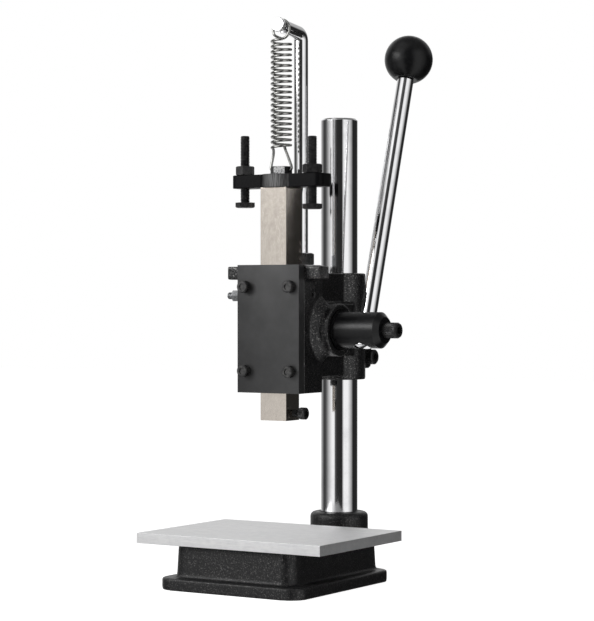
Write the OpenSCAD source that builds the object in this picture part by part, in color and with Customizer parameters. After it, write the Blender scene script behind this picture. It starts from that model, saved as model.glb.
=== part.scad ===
// Manual die-cutting press: a rack ram in a cast head, driven by a lever and clamped on a round column.
// Millimetres. The origin is on the bench, straight under the ram's axis. +Z is up, -Y faces the user.

/* [Base] */
// Width of the base foot
base_w = 137; // [126:1:150]
// Reach of the foot in front of the ram axis
base_front = 84; // [76:0.5:95]
// Reach of the foot behind the ram axis
base_back = 67.5; // [60:0.5:72]
// Height of the step round the foot
foot_h = 10; // [8:0.5:14]
// Height of the base under the work plate
base_h = 36.5; // [30:0.5:50]
// Width of the foot's step at each side
side_step = 10.5; // [6:0.5:14]
// Width of the foot's step at the front
front_step = 7; // [4:0.5:12]
// Width of the foot's step at the back
back_step = 1.5; // [1:0.5:5]
// How far the block's walls lean in
block_draft = 1.5; // [0.5:0.5:4]
// Corner radius of the block
block_corner_r = 12; // [6:1:16]
// Corner radius of the foot
foot_corner_r = 15; // [10:1:22]
// Thickness of the pocketed base's walls
base_wall = 8; // [6:0.5:12]
// Thickness of the ribs between the pockets
base_rib = 9; // [6:0.5:14]
// Thickness of the roof above the pockets
base_roof = 10; // [8:0.5:14]
// Outer diameter of the column collar
collar_d = 50; // [44:1:60]
// Height of the collar above the base block
collar_rise = 16.3; // [12:0.1:30]
// Chamfer on the collar's upper edge
collar_chamfer = 2.5; // [1:0.5:4]
// Width of the foot's lip round the collar
collar_lip = 6; // [3:0.5:10]
// Height of the socket's floor above the bench
socket_floor = 10; // [6:0.5:16]

/* [Work plate] */
// Width of the work plate
plate_w = 176; // [150:1:220]
// Reach of the plate in front of the ram axis
plate_front = 82.5; // [74:0.5:110]
// Reach of the plate behind the ram axis
plate_back = 47; // [40:0.5:60]
// Thickness of the plate
plate_t = 8.5; // [8:0.5:14]
// Thickness of the plate left above its screws
plate_skin = 2.5; // [2:0.1:4]

/* [Column] */
// Diameter of the column
col_d = 32; // [28:0.5:36]
// Distance from the ram axis back to the column axis
col_y = 93; // [90:0.5:110]
// Height of the column's top above the bench
col_top = 392; // [370:1:460]
// Chamfer at the column's top
col_chamfer = 1.5; // [0.5:0.5:3]

/* [Head casting] */
// Width of the head's ram box
head_w = 60; // [58:1:72]
// Height of the head's underside above the bench
head_bottom = 159; // [140:0.5:200]
// Height of the ram box
head_h = 105.5; // [102:0.5:124]
// Thickness of the wall behind the ram
head_back_wall = 4; // [3:0.5:8]
// Height of the pinion axis above the head's underside
pinion_rise = 51.7; // [48:0.1:56]
// Reach of each stop lug beyond the ram box
lug_reach = 15.5; // [14:0.5:24]
// Depth of the stop lugs, front to back
lug_depth = 14.5; // [12:0.5:22]
// Thickness of the stop lugs
lug_h = 11; // [8:0.5:16]
// Drop of the lugs' tops below the head's top
lug_drop = 1.2; // [0.5:0.1:3]
// Outer diameter of the barrel round the column
barrel_d = 45.5; // [42:0.5:56]
// Height of the barrel
barrel_h = 91.5; // [80:0.5:98]
// Drop of the barrel's top below the head's top
barrel_drop = 6; // [3:0.5:12]
// Thickness of the web between the ram box and the barrel
web_t = 30; // [24:1:40]
// Rise of the web's underside above the barrel's
web_rise = 4; // [2:0.5:10]
// Outer diameter of the pinion housing
housing_d = 44; // [42:1:52]
// Reach of the housing beyond the ram box
housing_reach = 12.5; // [9:0.5:20]
// Flare of the housing's root on the ram box
housing_flare = 7; // [4:0.5:8]
// Width of the housing's block back to the barrel
saddle_w = 44; // [34:1:56]
// Outer diameter of the boss for the spring post
post_boss_d = 27; // [24:0.5:32]
// Thickness of the boss's floor under the post
post_boss_floor = 6; // [4:0.5:10]
// Width across the two clamp ears
ear_w = 24; // [20:0.5:34]
// Reach of the clamp ears behind the column axis
ear_reach = 35; // [34:0.5:46]
// Corner radius of the clamp ears
ear_corner_r = 5; // [2:0.5:8]
// Height of the clamp ears
ear_h = 74; // [66:1:80]
// Width of the clamp slit
slit_w = 3; // [2:0.5:4]
// Distance between the two clamp bolts
clamp_pitch = 54; // [44:1:58]
// Distance of the clamp bolts behind the column axis
clamp_y = 28; // [26.5:0.5:30]

/* [Front cover] */
// Thickness of the front cover
cover_t = 8; // [6:0.5:12]
// Distance between the cover screws, across
cover_pitch_x = 44; // [40:0.5:46]
// Distance between the cover screws, up
cover_pitch_z = 69.5; // [66:0.5:76]
// Length of the cover screws inside the casting
cover_grip = 8.5; // [7.5:0.5:10]

/* [Gib and side screws] */
// Distance of the gib screw in front of the ram axis
gib_screw_fore = 3; // [1:0.5:4]
// Distance of the gib screw below the upper cover screws
gib_screw_drop = 7.5; // [7:0.1:12]
// Diameter of the boss round the gib screw
gib_boss_d = 15; // [13:0.5:16]
// Length of the boss round the gib screw
gib_boss_len = 7.5; // [5:0.5:10]
// Length of the gib screw that stands out of its lock nut
gib_screw_show = 5.5; // [3.5:0.5:8]
// Distance of the side screw behind the ram axis
side_screw_back = 1; // [1:0.5:4]
// Distance of the side screw below the upper cover screws
side_screw_drop = 6.5; // [6:0.1:12]
// Length of the side screw
side_screw_len = 12; // [8:0.5:14]

/* [Ram] */
// Side of the square ram
ram_w = 25; // [23:0.5:27]
// How far the ram shows below the head
ram_below = 23; // [21:0.5:34]
// How far the ram stands above the head
ram_above = 64; // [58:0.5:80]
// Depth milled off the back of the ram's lower end
ram_relief = 4.5; // [3:0.5:4.5]
// Diameter of the tool bore
tool_bore_d = 12; // [8:0.5:13]
// Depth of the tool bore
tool_bore_depth = 28; // [20:1:40]
// Height of the tool screw above the ram's lower end
tool_screw_rise = 6; // [5.5:0.5:12]
// Length of the tool screw's shank that shows
tool_screw_show = 6; // [5.5:0.5:9]
// Thickness of the gib strip
gib_t = 3; // [2:0.5:4]

/* [Rack and pinion] */
// Module of the teeth
tooth_module = 2; // [1.8:0.05:2.1]
// Number of teeth on the pinion
pinion_teeth = 14; // [13:1:15]
// Height of the rack's teeth above the pitch line
rack_addendum = 1.6; // [1.4:0.05:1.7]
// Thinning of each tooth for backlash
tooth_backlash = 0.16; // [0.1:0.02:0.3]
// Number of tooth gaps in the rack above the pinion axis
rack_gaps_up = 12; // [10:1:13]
// Number of tooth gaps in the rack below the pinion axis
rack_gaps_down = 6; // [4:1:9]
// Height of the pinion's right journal above the teeth
journal_step = 0.5; // [0.3:0.1:1]
// How far the pinion's teeth stand out past each side of the ram
pinion_overhang = 2; // [1:0.5:4]
// Diameter of the pinion's left journal
journal_d = 20; // [16:0.5:22]
// Thickness of the washer on the pinion's left end
end_washer_t = 3; // [2:0.5:5]
// Diameter of the washer on the pinion's left end
end_washer_d = 27; // [24:0.5:34]

/* [Yoke and stops] */
// Thickness of the yoke
yoke_t = 11; // [9.5:0.5:16]
// Half length of the yoke
yoke_reach = 44; // [42:0.5:52]
// Depth of the yoke's arms, front to back
yoke_depth = 21; // [18:0.5:26]
// Diameter of the yoke's middle
yoke_mid_d = 34; // [32:0.5:46]
// Corner radius of the yoke's arms
yoke_corner_r = 6; // [3:0.5:8]
// Distance of each stop bolt from the ram axis, across
stop_x = 33; // [32.5:0.5:37]
// Distance of the stop bolts in front of the ram axis
stop_y = 4.5; // [3:0.5:5]
// Length of the stop bolts' shanks
stop_len = 55.5; // [48:0.5:70]
// Drop of the stop bolts' heads below the yoke
stop_drop = 11.7; // [8:0.1:14]
// How much lower the right stop bolt is set than the left
right_stop_lower = 2.4; // [0:0.2:4]
// Turn of the left lock nut
left_nut_turn = 20; // [0:1:30]

/* [Lever] */
// Diameter of the lever hub
hub_d = 30; // [28:0.5:31]
// Length of the lever hub
hub_len = 41.5; // [36:0.5:60]
// Gap between the pinion housing and the lever hub
hub_gap = 1; // [0.5:0.1:3]
// Chamfer on the hub's outer end
hub_chamfer = 4; // [2:0.5:5]
// Distance from the hub's outer end to the lever axis
lever_inset = 18.5; // [17:0.5:24]
// Diameter of the lever rod
lever_d = 14; // [12:0.5:16]
// Lean of the lever at rest, backwards from upright
lever_lean = 17.5; // [10:0.5:22]
// Distance from the pinion axis to the middle of the ball
lever_len = 240; // [220:1:260]
// Depth of the lever rod's lower end inside the hub's skin
lever_tail_inset = 0.8; // [0.4:0.2:2]
// Diameter of the ball
ball_d = 41; // [36:0.5:46]
// Diameter of the flat under the ball
ball_face_d = 19.5; // [17:0.5:24]
// Depth of the ball's threaded hole
ball_bore_depth = 28; // [20:0.5:30]
// Diameter of the lever rod's threaded tip
ball_thread_d = 10; // [8:0.5:11]

/* [Return spring] */
// Diameter of the spring post
post_d = 12; // [10.5:0.5:13]
// Distance from the ram axis back to the post axis
post_y = 30.7; // [30:0.1:33]
// Height of the post's arm above the head
post_rise = 198.2; // [185:0.2:230]
// Bend radius of the post
post_bend_r = 7; // [6.5:0.5:18]
// Loss of thickness in the bend, on each side
post_bend_thin = 0.1; // [0.05:0.05:0.3]
// Slope of the arm, up towards its end
arm_tilt = 7; // [0:0.5:12]
// Reach of the arm past the spring axis
post_nose = 6; // [5:0.5:10]
// Depth of the post in its boss
post_depth = 30; // [20:1:32]
// Diameter of the groove that holds the spring
groove_d = 7.6; // [6:0.1:9]
// Width of the groove
groove_w = 3.2; // [2.8:0.1:4]
// Wire diameter of the spring
wire_d = 2; // [1.6:0.1:2.2]
// Mean diameter of the coils
coil_d = 15.8; // [14:0.1:17]
// Number of coils
coil_turns = 21; // [16:1:22]
// Length of the legs from the coils down to the yoke bolt
leg_len = 18.5; // [14:0.5:22]
// Gap between the spring's legs and the yoke bolt
leg_gap = 0.8; // [0.5:0.1:1.5]
// Rise of the free leg's tip inside the coils
leg_tip_rise = 2; // [1:0.5:4]

/* [Fasteners] */
// Thread diameter of the large screws
screw_d = 8; // [7:0.5:8.5]
// Head diameter of the large socket screws
screw_head_d = 13; // [12:0.5:14]
// Head height of the large socket screws
screw_head_h = 8; // [6:0.5:9]
// Key size of the large socket screws
screw_key = 6; // [5:0.5:7]
// Head height of the hub's end screw
hub_screw_head_h = 13; // [8:0.5:15]
// Key size of the large nuts
nut_af = 14; // [12.5:0.5:15]
// Height of the large nuts
nut_h = 7.5; // [5:0.5:8.5]
// Key size of the stop bolts' heads
stop_head_af = 14; // [13:0.5:16]
// Height of the stop bolts' heads
stop_head_h = 4.4; // [4:0.2:6]
// Thread diameter of the small screws
small_d = 6; // [5:0.5:6]
// Head diameter of the small socket screws
small_head_d = 10; // [9:0.5:10.5]
// Head height of the small socket screws
small_head_h = 6; // [5:0.5:7]
// Key size of the small socket screws
small_key = 5; // [4:0.5:5.5]
// Key size of the gib screw's lock nut
small_af = 9; // [8.5:0.5:11]
// Height of the gib screw's lock nut
small_nut_h = 7.5; // [5:0.5:8]
// Thread diameter of the yoke bolt
yoke_bolt_d = 10; // [8:0.5:11]
// Key size of the yoke bolt
yoke_bolt_af = 16; // [15:0.5:18]
// Head height of the yoke bolt
yoke_bolt_h = 6.6; // [6:0.2:10]
// Turn of the yoke bolt's head
yoke_bolt_turn = -11; // [-30:1:30]
// Length of the yoke bolt inside the ram
yoke_bolt_grip = 20; // [16:1:30]
// Key size of the post's lock nut
post_nut_af = 19; // [18:0.5:21]
// Height of the post's lock nut
post_nut_h = 10.5; // [8:0.5:13]

/* [Clearances] */
// Radial clearance of running and sliding fits
fit = 0.05; // [0.03:0.01:0.08]
// Gap at the ends of turning parts
end_gap = 0.3; // [0.2:0.05:0.5]
// Extra depth of blind holes past their screws
hole_spare = 1.5; // [1:0.5:3]
// Radial clearance of the spring wire in its hole
wire_gap = 0.6; // [0.4:0.1:0.8]

/* [Hidden] */
$fn = 64;
// Small overlap that cuts through a face
cut = 1;

BLACK_IRON = [0.10, 0.10, 0.11];
BLACK_STEEL = [0.13, 0.13, 0.14];
CHROME = [0.80, 0.81, 0.83];
ALUMINIUM = [0.76, 0.77, 0.78];
NICKEL = [0.78, 0.75, 0.70];
BRASS = [0.72, 0.58, 0.30];
ZINC = [0.70, 0.71, 0.72];
BLACK_PLASTIC = [0.04, 0.04, 0.045];

// Base
block_w = base_w - 2 * side_step;
block_front = base_front - front_step;
block_back = base_back - back_step;
collar_top = base_h + collar_rise;
pocket_h = base_h - base_roof;
pocket_w = (block_w - 2 * block_draft - 2 * base_wall - base_rib) / 2;
pocket_y0 = -block_front + block_draft + base_wall;
pocket_y1 = min(block_back - block_draft, plate_back) - base_wall;
pocket_rows = 3;
pocket_depth = (pocket_y1 - pocket_y0 - (pocket_rows - 1) * base_rib) / pocket_rows;
pocket_x = (base_rib + pocket_w) / 2;
plate_top = base_h + plate_t;
plate_screw_grip = plate_t - plate_skin;
collar_screw_z = (base_h + collar_top) / 2;

// Head
head_top = head_bottom + head_h;
head_mid = head_bottom + head_h / 2;
box_x = head_w / 2;
box_front = -(ram_w / 2 + fit);
channel_back = ram_w / 2 + fit;
box_back = channel_back + head_back_wall;
channel_right = ram_w / 2 + fit;
channel_left = -(ram_w / 2 + 2 * fit + gib_t);
cover_front = box_front - cover_t;
barrel_top = head_top - barrel_drop;
barrel_bottom = barrel_top - barrel_h;
barrel_mid = (barrel_top + barrel_bottom) / 2;
web_bottom = barrel_bottom + web_rise;
boss_z0 = head_top - post_depth - post_boss_floor;
lug_top = head_top - lug_drop;

// Rack and pinion
pinion_z = head_bottom + pinion_rise;
pitch_r = tooth_module * pinion_teeth / 2;
tooth_pitch = PI * tooth_module;
pressure_angle = 20;
// Depth of a tooth's root below the pitch line, in modules
root_share = 1.25;
pinion_tip_r = pitch_r + tooth_module;
pinion_root_r = pitch_r - root_share * tooth_module;
base_circle_r = pitch_r * cos(pressure_angle);
rack_pitch_y = ram_w / 2 - rack_addendum;
rack_root_y = rack_pitch_y - root_share * tooth_module;
pinion_y = rack_pitch_y + pitch_r;
pinion_face = ram_w / 2 + pinion_overhang;
bore_left = -(pinion_face + end_gap);
bearing_d = 2 * (pinion_tip_r + journal_step);
gib_back = min(ram_w / 2, pinion_y - pinion_tip_r - end_gap);
housing_x = box_x + housing_reach;
flank_steps = 5;

// Ram and yoke
ram_bottom = head_bottom - ram_below;
ram_top = head_top + ram_above;
yoke_top = ram_top + yoke_t;
stop_head_z = ram_top - stop_drop;
tool_screw_z = ram_bottom + tool_screw_rise;
tool_screw_tip = tool_bore_d / 2 + end_gap;

// Lever
hub_x0 = housing_x + hub_gap;
hub_x1 = hub_x0 + hub_len;
lever_x = hub_x1 - lever_inset;
ball_flat = sqrt(pow(ball_d / 2, 2) - pow(ball_face_d / 2, 2));

// Gib screw and side screw
upper_screw_z = head_mid + cover_pitch_z / 2;
gib_screw_z = upper_screw_z - gib_screw_drop;
side_screw_z = upper_screw_z - side_screw_drop;

// Spring
arm_z = head_top + post_rise;
yoke_hole_z = yoke_top + yoke_bolt_h / 2;
loop_z = arm_z + groove_d / 2 + wire_d / 2 - coil_d / 2 + fit;
coil_z0 = yoke_hole_z + leg_len;
coil_z1 = loop_z - coil_d / 2 - wire_d / 2;
coil_pitch = (coil_z1 - coil_z0) / coil_turns;
leg_x = yoke_bolt_af / 2 / cos(yoke_bolt_turn) + wire_d / 2 + leg_gap;
leg_bend_r = wire_d;
coil_end_angle = -60;
wire_sides = 6;
curl_rings = 8;
loop_rings = 24;

// A rectangle from two corners with round corners, as a flat outline
module round_rect(x0, y0, x1, y1, r) {
    translate([x0 + r, y0]) square([x1 - x0 - 2 * r, y1 - y0]);
    translate([x0, y0 + r]) square([x1 - x0, y1 - y0 - 2 * r]);
    for (x = [x0 + r, x1 - r], y = [y0 + r, y1 - r])
        translate([x, y]) circle(r);
}

// A box from two corners
module block(a, b) {
    translate(a) cube(b - a);
}

// A cylinder along X from x0 to x1
module x_rod(d, x0, x1, y, z) {
    translate([x0, y, z]) rotate([0, 90, 0]) cylinder(d = d, h = x1 - x0);
}

// A cylinder along Y from y0 to y1
module y_rod(d, y0, y1, x, z) {
    translate([x, y0, z]) rotate([-90, 0, 0]) cylinder(d = d, h = y1 - y0);
}

// A hexagonal prism on the XY plane, with flats across X
module hexagon(af, h) {
    rotate([0, 0, 30]) cylinder(d = af / cos(30), h = h, $fn = 6);
}

// A socket screw whose head stands on the XY plane and whose shank runs down
module socket_screw(d, len, head_d, head_h, key) {
    chamfer = head_h / 12;
    difference() {
        union() {
            cylinder(d = head_d, h = head_h - chamfer);
            translate([0, 0, head_h - chamfer])
                cylinder(d1 = head_d, d2 = head_d - 2 * chamfer, h = chamfer);
            translate([0, 0, -len]) cylinder(d = d, h = len + head_h / 2);
        }
        translate([0, 0, head_h / 2]) hexagon(key, head_h);
    }
}

// A set screw with its tip on the XY plane
module set_screw(d, len) {
    difference() {
        cylinder(d = d, h = len);
        translate([0, 0, len - d / 2]) hexagon(d / 2, d);
    }
}

// A hexagonal nut standing on the XY plane
module hex_nut(d, af, h) {
    difference() {
        hexagon(af, h);
        translate([0, 0, -cut]) cylinder(d = d + 2 * fit, h = h + 2 * cut);
    }
}

// The block of the base, as a flat outline
module block_outline(inset) {
    round_rect(-block_w / 2 + inset, -block_front + inset, block_w / 2 - inset, block_back - inset,
        block_corner_r, $fn = 32);
}

module base_casting() {
    skin = 0.1;
    color(BLACK_IRON) difference() {
        union() {
            linear_extrude(foot_h)
                round_rect(-base_w / 2, -base_front, base_w / 2, base_back, foot_corner_r);
            hull() {
                linear_extrude(skin) block_outline(0);
                translate([0, 0, base_h - skin]) linear_extrude(skin) block_outline(block_draft);
            }
            block([-collar_d / 2, block_back - base_wall, 0], [collar_d / 2, col_y, base_h]);
            block([-collar_d / 2 - collar_lip, base_back - base_wall, 0],
                [collar_d / 2 + collar_lip, col_y, foot_h]);
            translate([0, col_y, 0]) {
                cylinder(d = collar_d + 2 * collar_lip, h = foot_h);
                cylinder(d = collar_d, h = collar_top - collar_chamfer);
                translate([0, 0, collar_top - collar_chamfer])
                    cylinder(d1 = collar_d, d2 = collar_d - 2 * collar_chamfer, h = collar_chamfer);
            }
        }
        translate([0, col_y, socket_floor]) cylinder(d = col_d + 2 * fit, h = collar_top);
        y_rod(small_d + 2 * fit, col_y, col_y + collar_d, 0, collar_screw_z);
        for (side = [-1, 1], row = [0 : pocket_rows - 1])
            translate([side * pocket_x, pocket_y0 + row * (pocket_depth + base_rib), 0])
                block([-pocket_w / 2, 0, -cut], [pocket_w / 2, pocket_depth, pocket_h]);
        at_plate_screws() cylinder(d = small_d + 2 * fit, h = base_h + cut);
    }
}

// Places its children at the four plate screws, on the bench level
module at_plate_screws() {
    for (side = [-1, 1], row = [0, pocket_rows - 1])
        translate([side * pocket_x, pocket_y0 + row * (pocket_depth + base_rib) + pocket_depth / 2, 0])
            children();
}

module work_plate() {
    color(ALUMINIUM) difference() {
        block([-plate_w / 2, -plate_front, base_h], [plate_w / 2, plate_back, plate_top]);
        at_plate_screws() translate([0, 0, base_h - cut])
            cylinder(d = small_d + 2 * fit, h = plate_screw_grip + cut + hole_spare / 2);
    }
}

module plate_screws() {
    color(BLACK_STEEL) at_plate_screws() translate([0, 0, pocket_h]) mirror([0, 0, 1])
        socket_screw(small_d, base_roof + plate_screw_grip, small_head_d, small_head_h, small_key);
}

module column() {
    color(CHROME) translate([0, col_y, 0]) {
        translate([0, 0, socket_floor]) cylinder(d = col_d, h = col_top - col_chamfer - socket_floor);
        translate([0, 0, col_top - col_chamfer])
            cylinder(d1 = col_d, d2 = col_d - 2 * col_chamfer, h = col_chamfer);
    }
}

module collar_set_screw() {
    reach = collar_d / 2 - col_d / 2 - fit;
    color(BLACK_STEEL) translate([0, col_y + col_d / 2 + fit, collar_screw_z]) rotate([-90, 0, 0])
        set_screw(small_d, reach - end_gap);
}

// Places its children at the four cover screws, on the casting's front face, with +Z towards the user
module at_cover_screws() {
    for (side = [-1, 1], up = [-1, 1])
        translate([side * cover_pitch_x / 2, box_front, head_mid + up * cover_pitch_z / 2])
            rotate([90, 0, 0]) children();
}

// Places its children at the two clamp bolts, in the plane of symmetry, with +Z towards +X
module at_clamp_bolts() {
    for (up = [-1, 1])
        translate([0, col_y + clamp_y, barrel_mid + up * clamp_pitch / 2])
            rotate([0, 90, 0]) children();
}

// The flared root of the pinion housing on the ram box's side
module housing_root() {
    root = housing_flare + cut;
    intersection() {
        translate([box_x - cut, pinion_y, pinion_z]) rotate([0, 90, 0])
            cylinder(d1 = housing_d + 2 * root, d2 = housing_d, h = root);
        block([0, box_front, head_bottom], [housing_x, box_back, head_top]);
    }
}

module head_casting() {
    color(BLACK_IRON) difference() {
        union() {
            block([-box_x, box_front, head_bottom], [box_x, box_back, head_top]);
            block([-box_x - lug_reach, box_front, lug_top - lug_h],
                [box_x + lug_reach, box_front + lug_depth, lug_top]);
            block([-web_t / 2, 0, web_bottom], [web_t / 2, col_y, barrel_top]);
            translate([0, col_y, barrel_bottom]) cylinder(d = barrel_d, h = barrel_h);
            x_rod(housing_d, -box_x, housing_x, pinion_y, pinion_z);
            housing_root();
            block([-saddle_w / 2, pinion_y, pinion_z - housing_d / 2],
                [saddle_w / 2, col_y - barrel_d / 4, pinion_z + housing_d / 2]);
            translate([0, post_y, boss_z0]) cylinder(d = post_boss_d, h = head_top - boss_z0);
            translate([-ear_w / 2, 0, 0]) rotate([90, 0, 90]) linear_extrude(ear_w)
                round_rect(col_y, barrel_mid - ear_h / 2, col_y + ear_reach, barrel_mid + ear_h / 2,
                    ear_corner_r);
            x_rod(gib_boss_d, -box_x - gib_boss_len, -box_x + cut, -gib_screw_fore, gib_screw_z);
        }
        block([channel_left, box_front - cut, head_bottom - cut],
            [channel_right, channel_back, head_top + cut]);
        translate([0, col_y, barrel_bottom - cut]) cylinder(d = col_d + 2 * fit, h = barrel_h + 2 * cut);
        block([-slit_w / 2, col_y, barrel_bottom - cut],
            [slit_w / 2, col_y + ear_reach + cut, barrel_top + cut]);
        at_clamp_bolts() translate([0, 0, -ear_w]) cylinder(d = screw_d + 2 * fit, h = 2 * ear_w);
        x_rod(bearing_d + 2 * fit, bore_left, housing_x + cut, pinion_y, pinion_z);
        x_rod(journal_d + 2 * fit, -box_x - cut, bore_left + cut, pinion_y, pinion_z);
        translate([0, post_y, head_top - post_depth]) cylinder(d = post_d + 2 * fit, h = post_depth + cut);
        at_cover_screws() translate([0, 0, -cover_grip - hole_spare])
            cylinder(d = small_d + 2 * fit, h = cover_grip + hole_spare + cut);
        x_rod(small_d + 2 * fit, -box_x - gib_boss_len - cut, 0, -gib_screw_fore, gib_screw_z);
        x_rod(small_d + 2 * fit, 0, box_x + cut, side_screw_back, side_screw_z);
    }
}

module front_cover() {
    color(BLACK_STEEL) difference() {
        block([-box_x, cover_front, head_bottom], [box_x, box_front, head_top]);
        at_cover_screws() translate([0, 0, -cut]) cylinder(d = small_d + 2 * fit, h = cover_t + 2 * cut);
    }
}

module cover_screws() {
    color(BLACK_STEEL) at_cover_screws() translate([0, 0, cover_t])
        socket_screw(small_d, cover_t + cover_grip, small_head_d, small_head_h, small_key);
}

module clamp_bolts() {
    color(BLACK_STEEL) at_clamp_bolts() translate([0, 0, ear_w / 2])
        socket_screw(screw_d, ear_w + nut_h + hole_spare, screw_head_d, screw_head_h, screw_key);
}

module clamp_nuts() {
    color(BLACK_STEEL) at_clamp_bolts() translate([0, 0, -ear_w / 2 - nut_h]) hex_nut(screw_d, nut_af, nut_h);
}

module gib_strip() {
    color(BRASS) block([channel_left + fit, -ram_w / 2, head_bottom],
        [channel_left + fit + gib_t, gib_back, head_top]);
}

module gib_screw() {
    end_x = -box_x - gib_boss_len - small_nut_h - gib_screw_show;
    color(ZINC) translate([channel_left, -gib_screw_fore, gib_screw_z]) rotate([0, -90, 0])
        set_screw(small_d, channel_left - end_x);
}

module gib_lock_nut() {
    color(ZINC) translate([-box_x - gib_boss_len, -gib_screw_fore, gib_screw_z]) rotate([0, -90, 0])
        hex_nut(small_d, small_af, small_nut_h);
}

module side_set_screw() {
    color(BLACK_STEEL) translate([box_x - end_gap - side_screw_len, side_screw_back, side_screw_z])
        rotate([0, 90, 0]) set_screw(small_d, side_screw_len);
}

module spring_post() {
    arm_root_y = post_y - post_bend_r * (1 - sin(arm_tilt));
    straight_top = arm_z - arm_root_y * tan(arm_tilt) - post_bend_r * cos(arm_tilt);
    foot_z = head_top - post_depth;
    color(CHROME) difference() {
        union() {
            translate([0, post_y, foot_z]) cylinder(d = post_d, h = straight_top + cut - foot_z);
            translate([0, post_y - post_bend_r, straight_top]) rotate([90, 0, 90])
                rotate_extrude(angle = 90 - arm_tilt) translate([post_bend_r, 0])
                    circle(d = post_d - 2 * post_bend_thin);
            translate([0, 0, arm_z]) rotate([-arm_tilt, 0, 0])
                y_rod(post_d, -post_nose, arm_root_y / cos(arm_tilt) + cut, 0, 0);
        }
        difference() {
            y_rod(post_d + cut, -groove_w / 2, groove_w / 2, 0, arm_z);
            y_rod(groove_d, -groove_w, groove_w, 0, arm_z);
        }
    }
}

module post_lock_nut() {
    color(BLACK_STEEL) translate([0, post_y, head_top]) hex_nut(post_d, post_nut_af, post_nut_h);
}

// A point at a share t of a curve from a to b with handles p and q
function bezier(a, p, q, b, t) =
    pow(1 - t, 3) * a + 3 * pow(1 - t, 2) * t * p + 3 * (1 - t) * t * t * q + pow(t, 3) * b;

// The points of an arc in the XZ plane
function arc_xz(x, z, r, from, to, steps) =
    [for (i = [0 : steps]) let (a = from + (to - from) * i / steps) [x + r * cos(a), 0, z + r * sin(a)]];

// The spring's wire: up from the free end of the right leg, through the bolt and the coils, to the loop
coil_r = coil_d / 2;
leg_end = [coil_r / 3, 0, coil_z0 + leg_tip_rise];
leg_top = [leg_x, 0, yoke_top + yoke_bolt_h];
leg_rise = yoke_hole_z + leg_bend_r;
leg_part = concat(
    [for (t = [0, 0.5, 1]) leg_end + t * (leg_top - leg_end)],
    arc_xz(leg_x - leg_bend_r, leg_rise, leg_bend_r, 0, -90, 3),
    arc_xz(-leg_x + leg_bend_r, leg_rise, leg_bend_r, -90, -180, 3));
coil_start = [-coil_r, 0, coil_z0];
rise_part = [for (t = [0.3, 0.6, 0.85])
    bezier([-leg_x, 0, leg_rise], [-leg_x, 0, leg_rise + leg_len / 3],
        coil_start + [0, coil_r, -leg_len / 4], coil_start, t)];
coil_sweep = coil_turns * 360 + coil_end_angle - 180;
coil_steps = round(coil_sweep / 360 * curl_rings);
coil_part = [for (i = [0 : coil_steps]) let (share = i / coil_steps, a = 180 + coil_sweep * share)
    [coil_r * cos(a), coil_r * sin(a), coil_z0 + (coil_z1 - coil_z0) * share]];
loop_start = 200;
loop_end = -75;
loop_part = arc_xz(0, loop_z, coil_r, loop_start, loop_end, loop_rings);
coil_last = coil_part[coil_steps];
coil_heading = coil_last - coil_part[coil_steps - 1];
link_part = [for (t = [0.25, 0.5, 0.75])
    bezier(coil_last, coil_last + 0.7 * coil_heading, loop_part[0] - [0, 0, coil_r / 2], loop_part[0], t)];
wire_path = concat(leg_part, rise_part, coil_part, link_part, loop_part);

function unit(v) = v / norm(v);
function heading(path, i) =
    unit(path[min(i + 1, len(path) - 1)] - path[max(i - 1, 0)]);
function square_to(v, t) = unit(v - (v * t) * t);

// A tube of triangles swept along a path, its rings carried from point to point without twist
module wire_tube(path, d, sides) {
    count = len(path);
    sideways = [for (i = 0, n = square_to([0, 1, 0.01], heading(path, 0)); i < count;
        i = i + 1, n = square_to(n, heading(path, min(i, count - 1)))) n];
    rings = [for (i = [0 : count - 1], k = [0 : sides - 1])
        let (a = 360 * k / sides, n = sideways[i], b = cross(heading(path, i), n))
        path[i] + d / 2 * (cos(a) * n + sin(a) * b)];
    walls = [for (i = [0 : count - 2], k = [0 : sides - 1], half = [0, 1])
        let (a = i * sides + k, b = i * sides + (k + 1) % sides)
        half == 0 ? [a, a + sides, b] : [b, a + sides, b + sides]];
    last = (count - 1) * sides;
    caps = concat([for (k = [1 : sides - 2]) [0, k, k + 1]],
        [for (k = [1 : sides - 2]) [last, last + k + 1, last + k]]);
    polyhedron(rings, concat(walls, caps));
}

// The least gap between stretches of the wire that lie more than half a curl apart along it
function wire_self_gap(path) =
    let (run = [for (i = 0, s = 0; i < len(path); s = s + norm(path[min(i + 1, len(path) - 1)] - path[i]),
        i = i + 1) s])
    min([for (i = [0 : len(path) - 1], j = [0 : i]) if (run[i] - run[j] > PI * coil_r)
        norm(path[i] - path[j])]) - wire_d;

module return_spring() {
    echo(spring_gap_to_itself = wire_self_gap(wire_path));
    color(CHROME) wire_tube(wire_path, wire_d, wire_sides);
}

// One gap of the rack, open towards +Y, on the pitch line
module rack_gap() {
    half = tooth_pitch / 4 + tooth_backlash / 2;
    slope = tan(pressure_angle);
    top = rack_addendum + cut;
    root = rack_root_y - rack_pitch_y;
    polygon([[root, -half - root * slope], [top, -half - top * slope],
        [top, half + top * slope], [root, half + root * slope]]);
}

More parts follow.
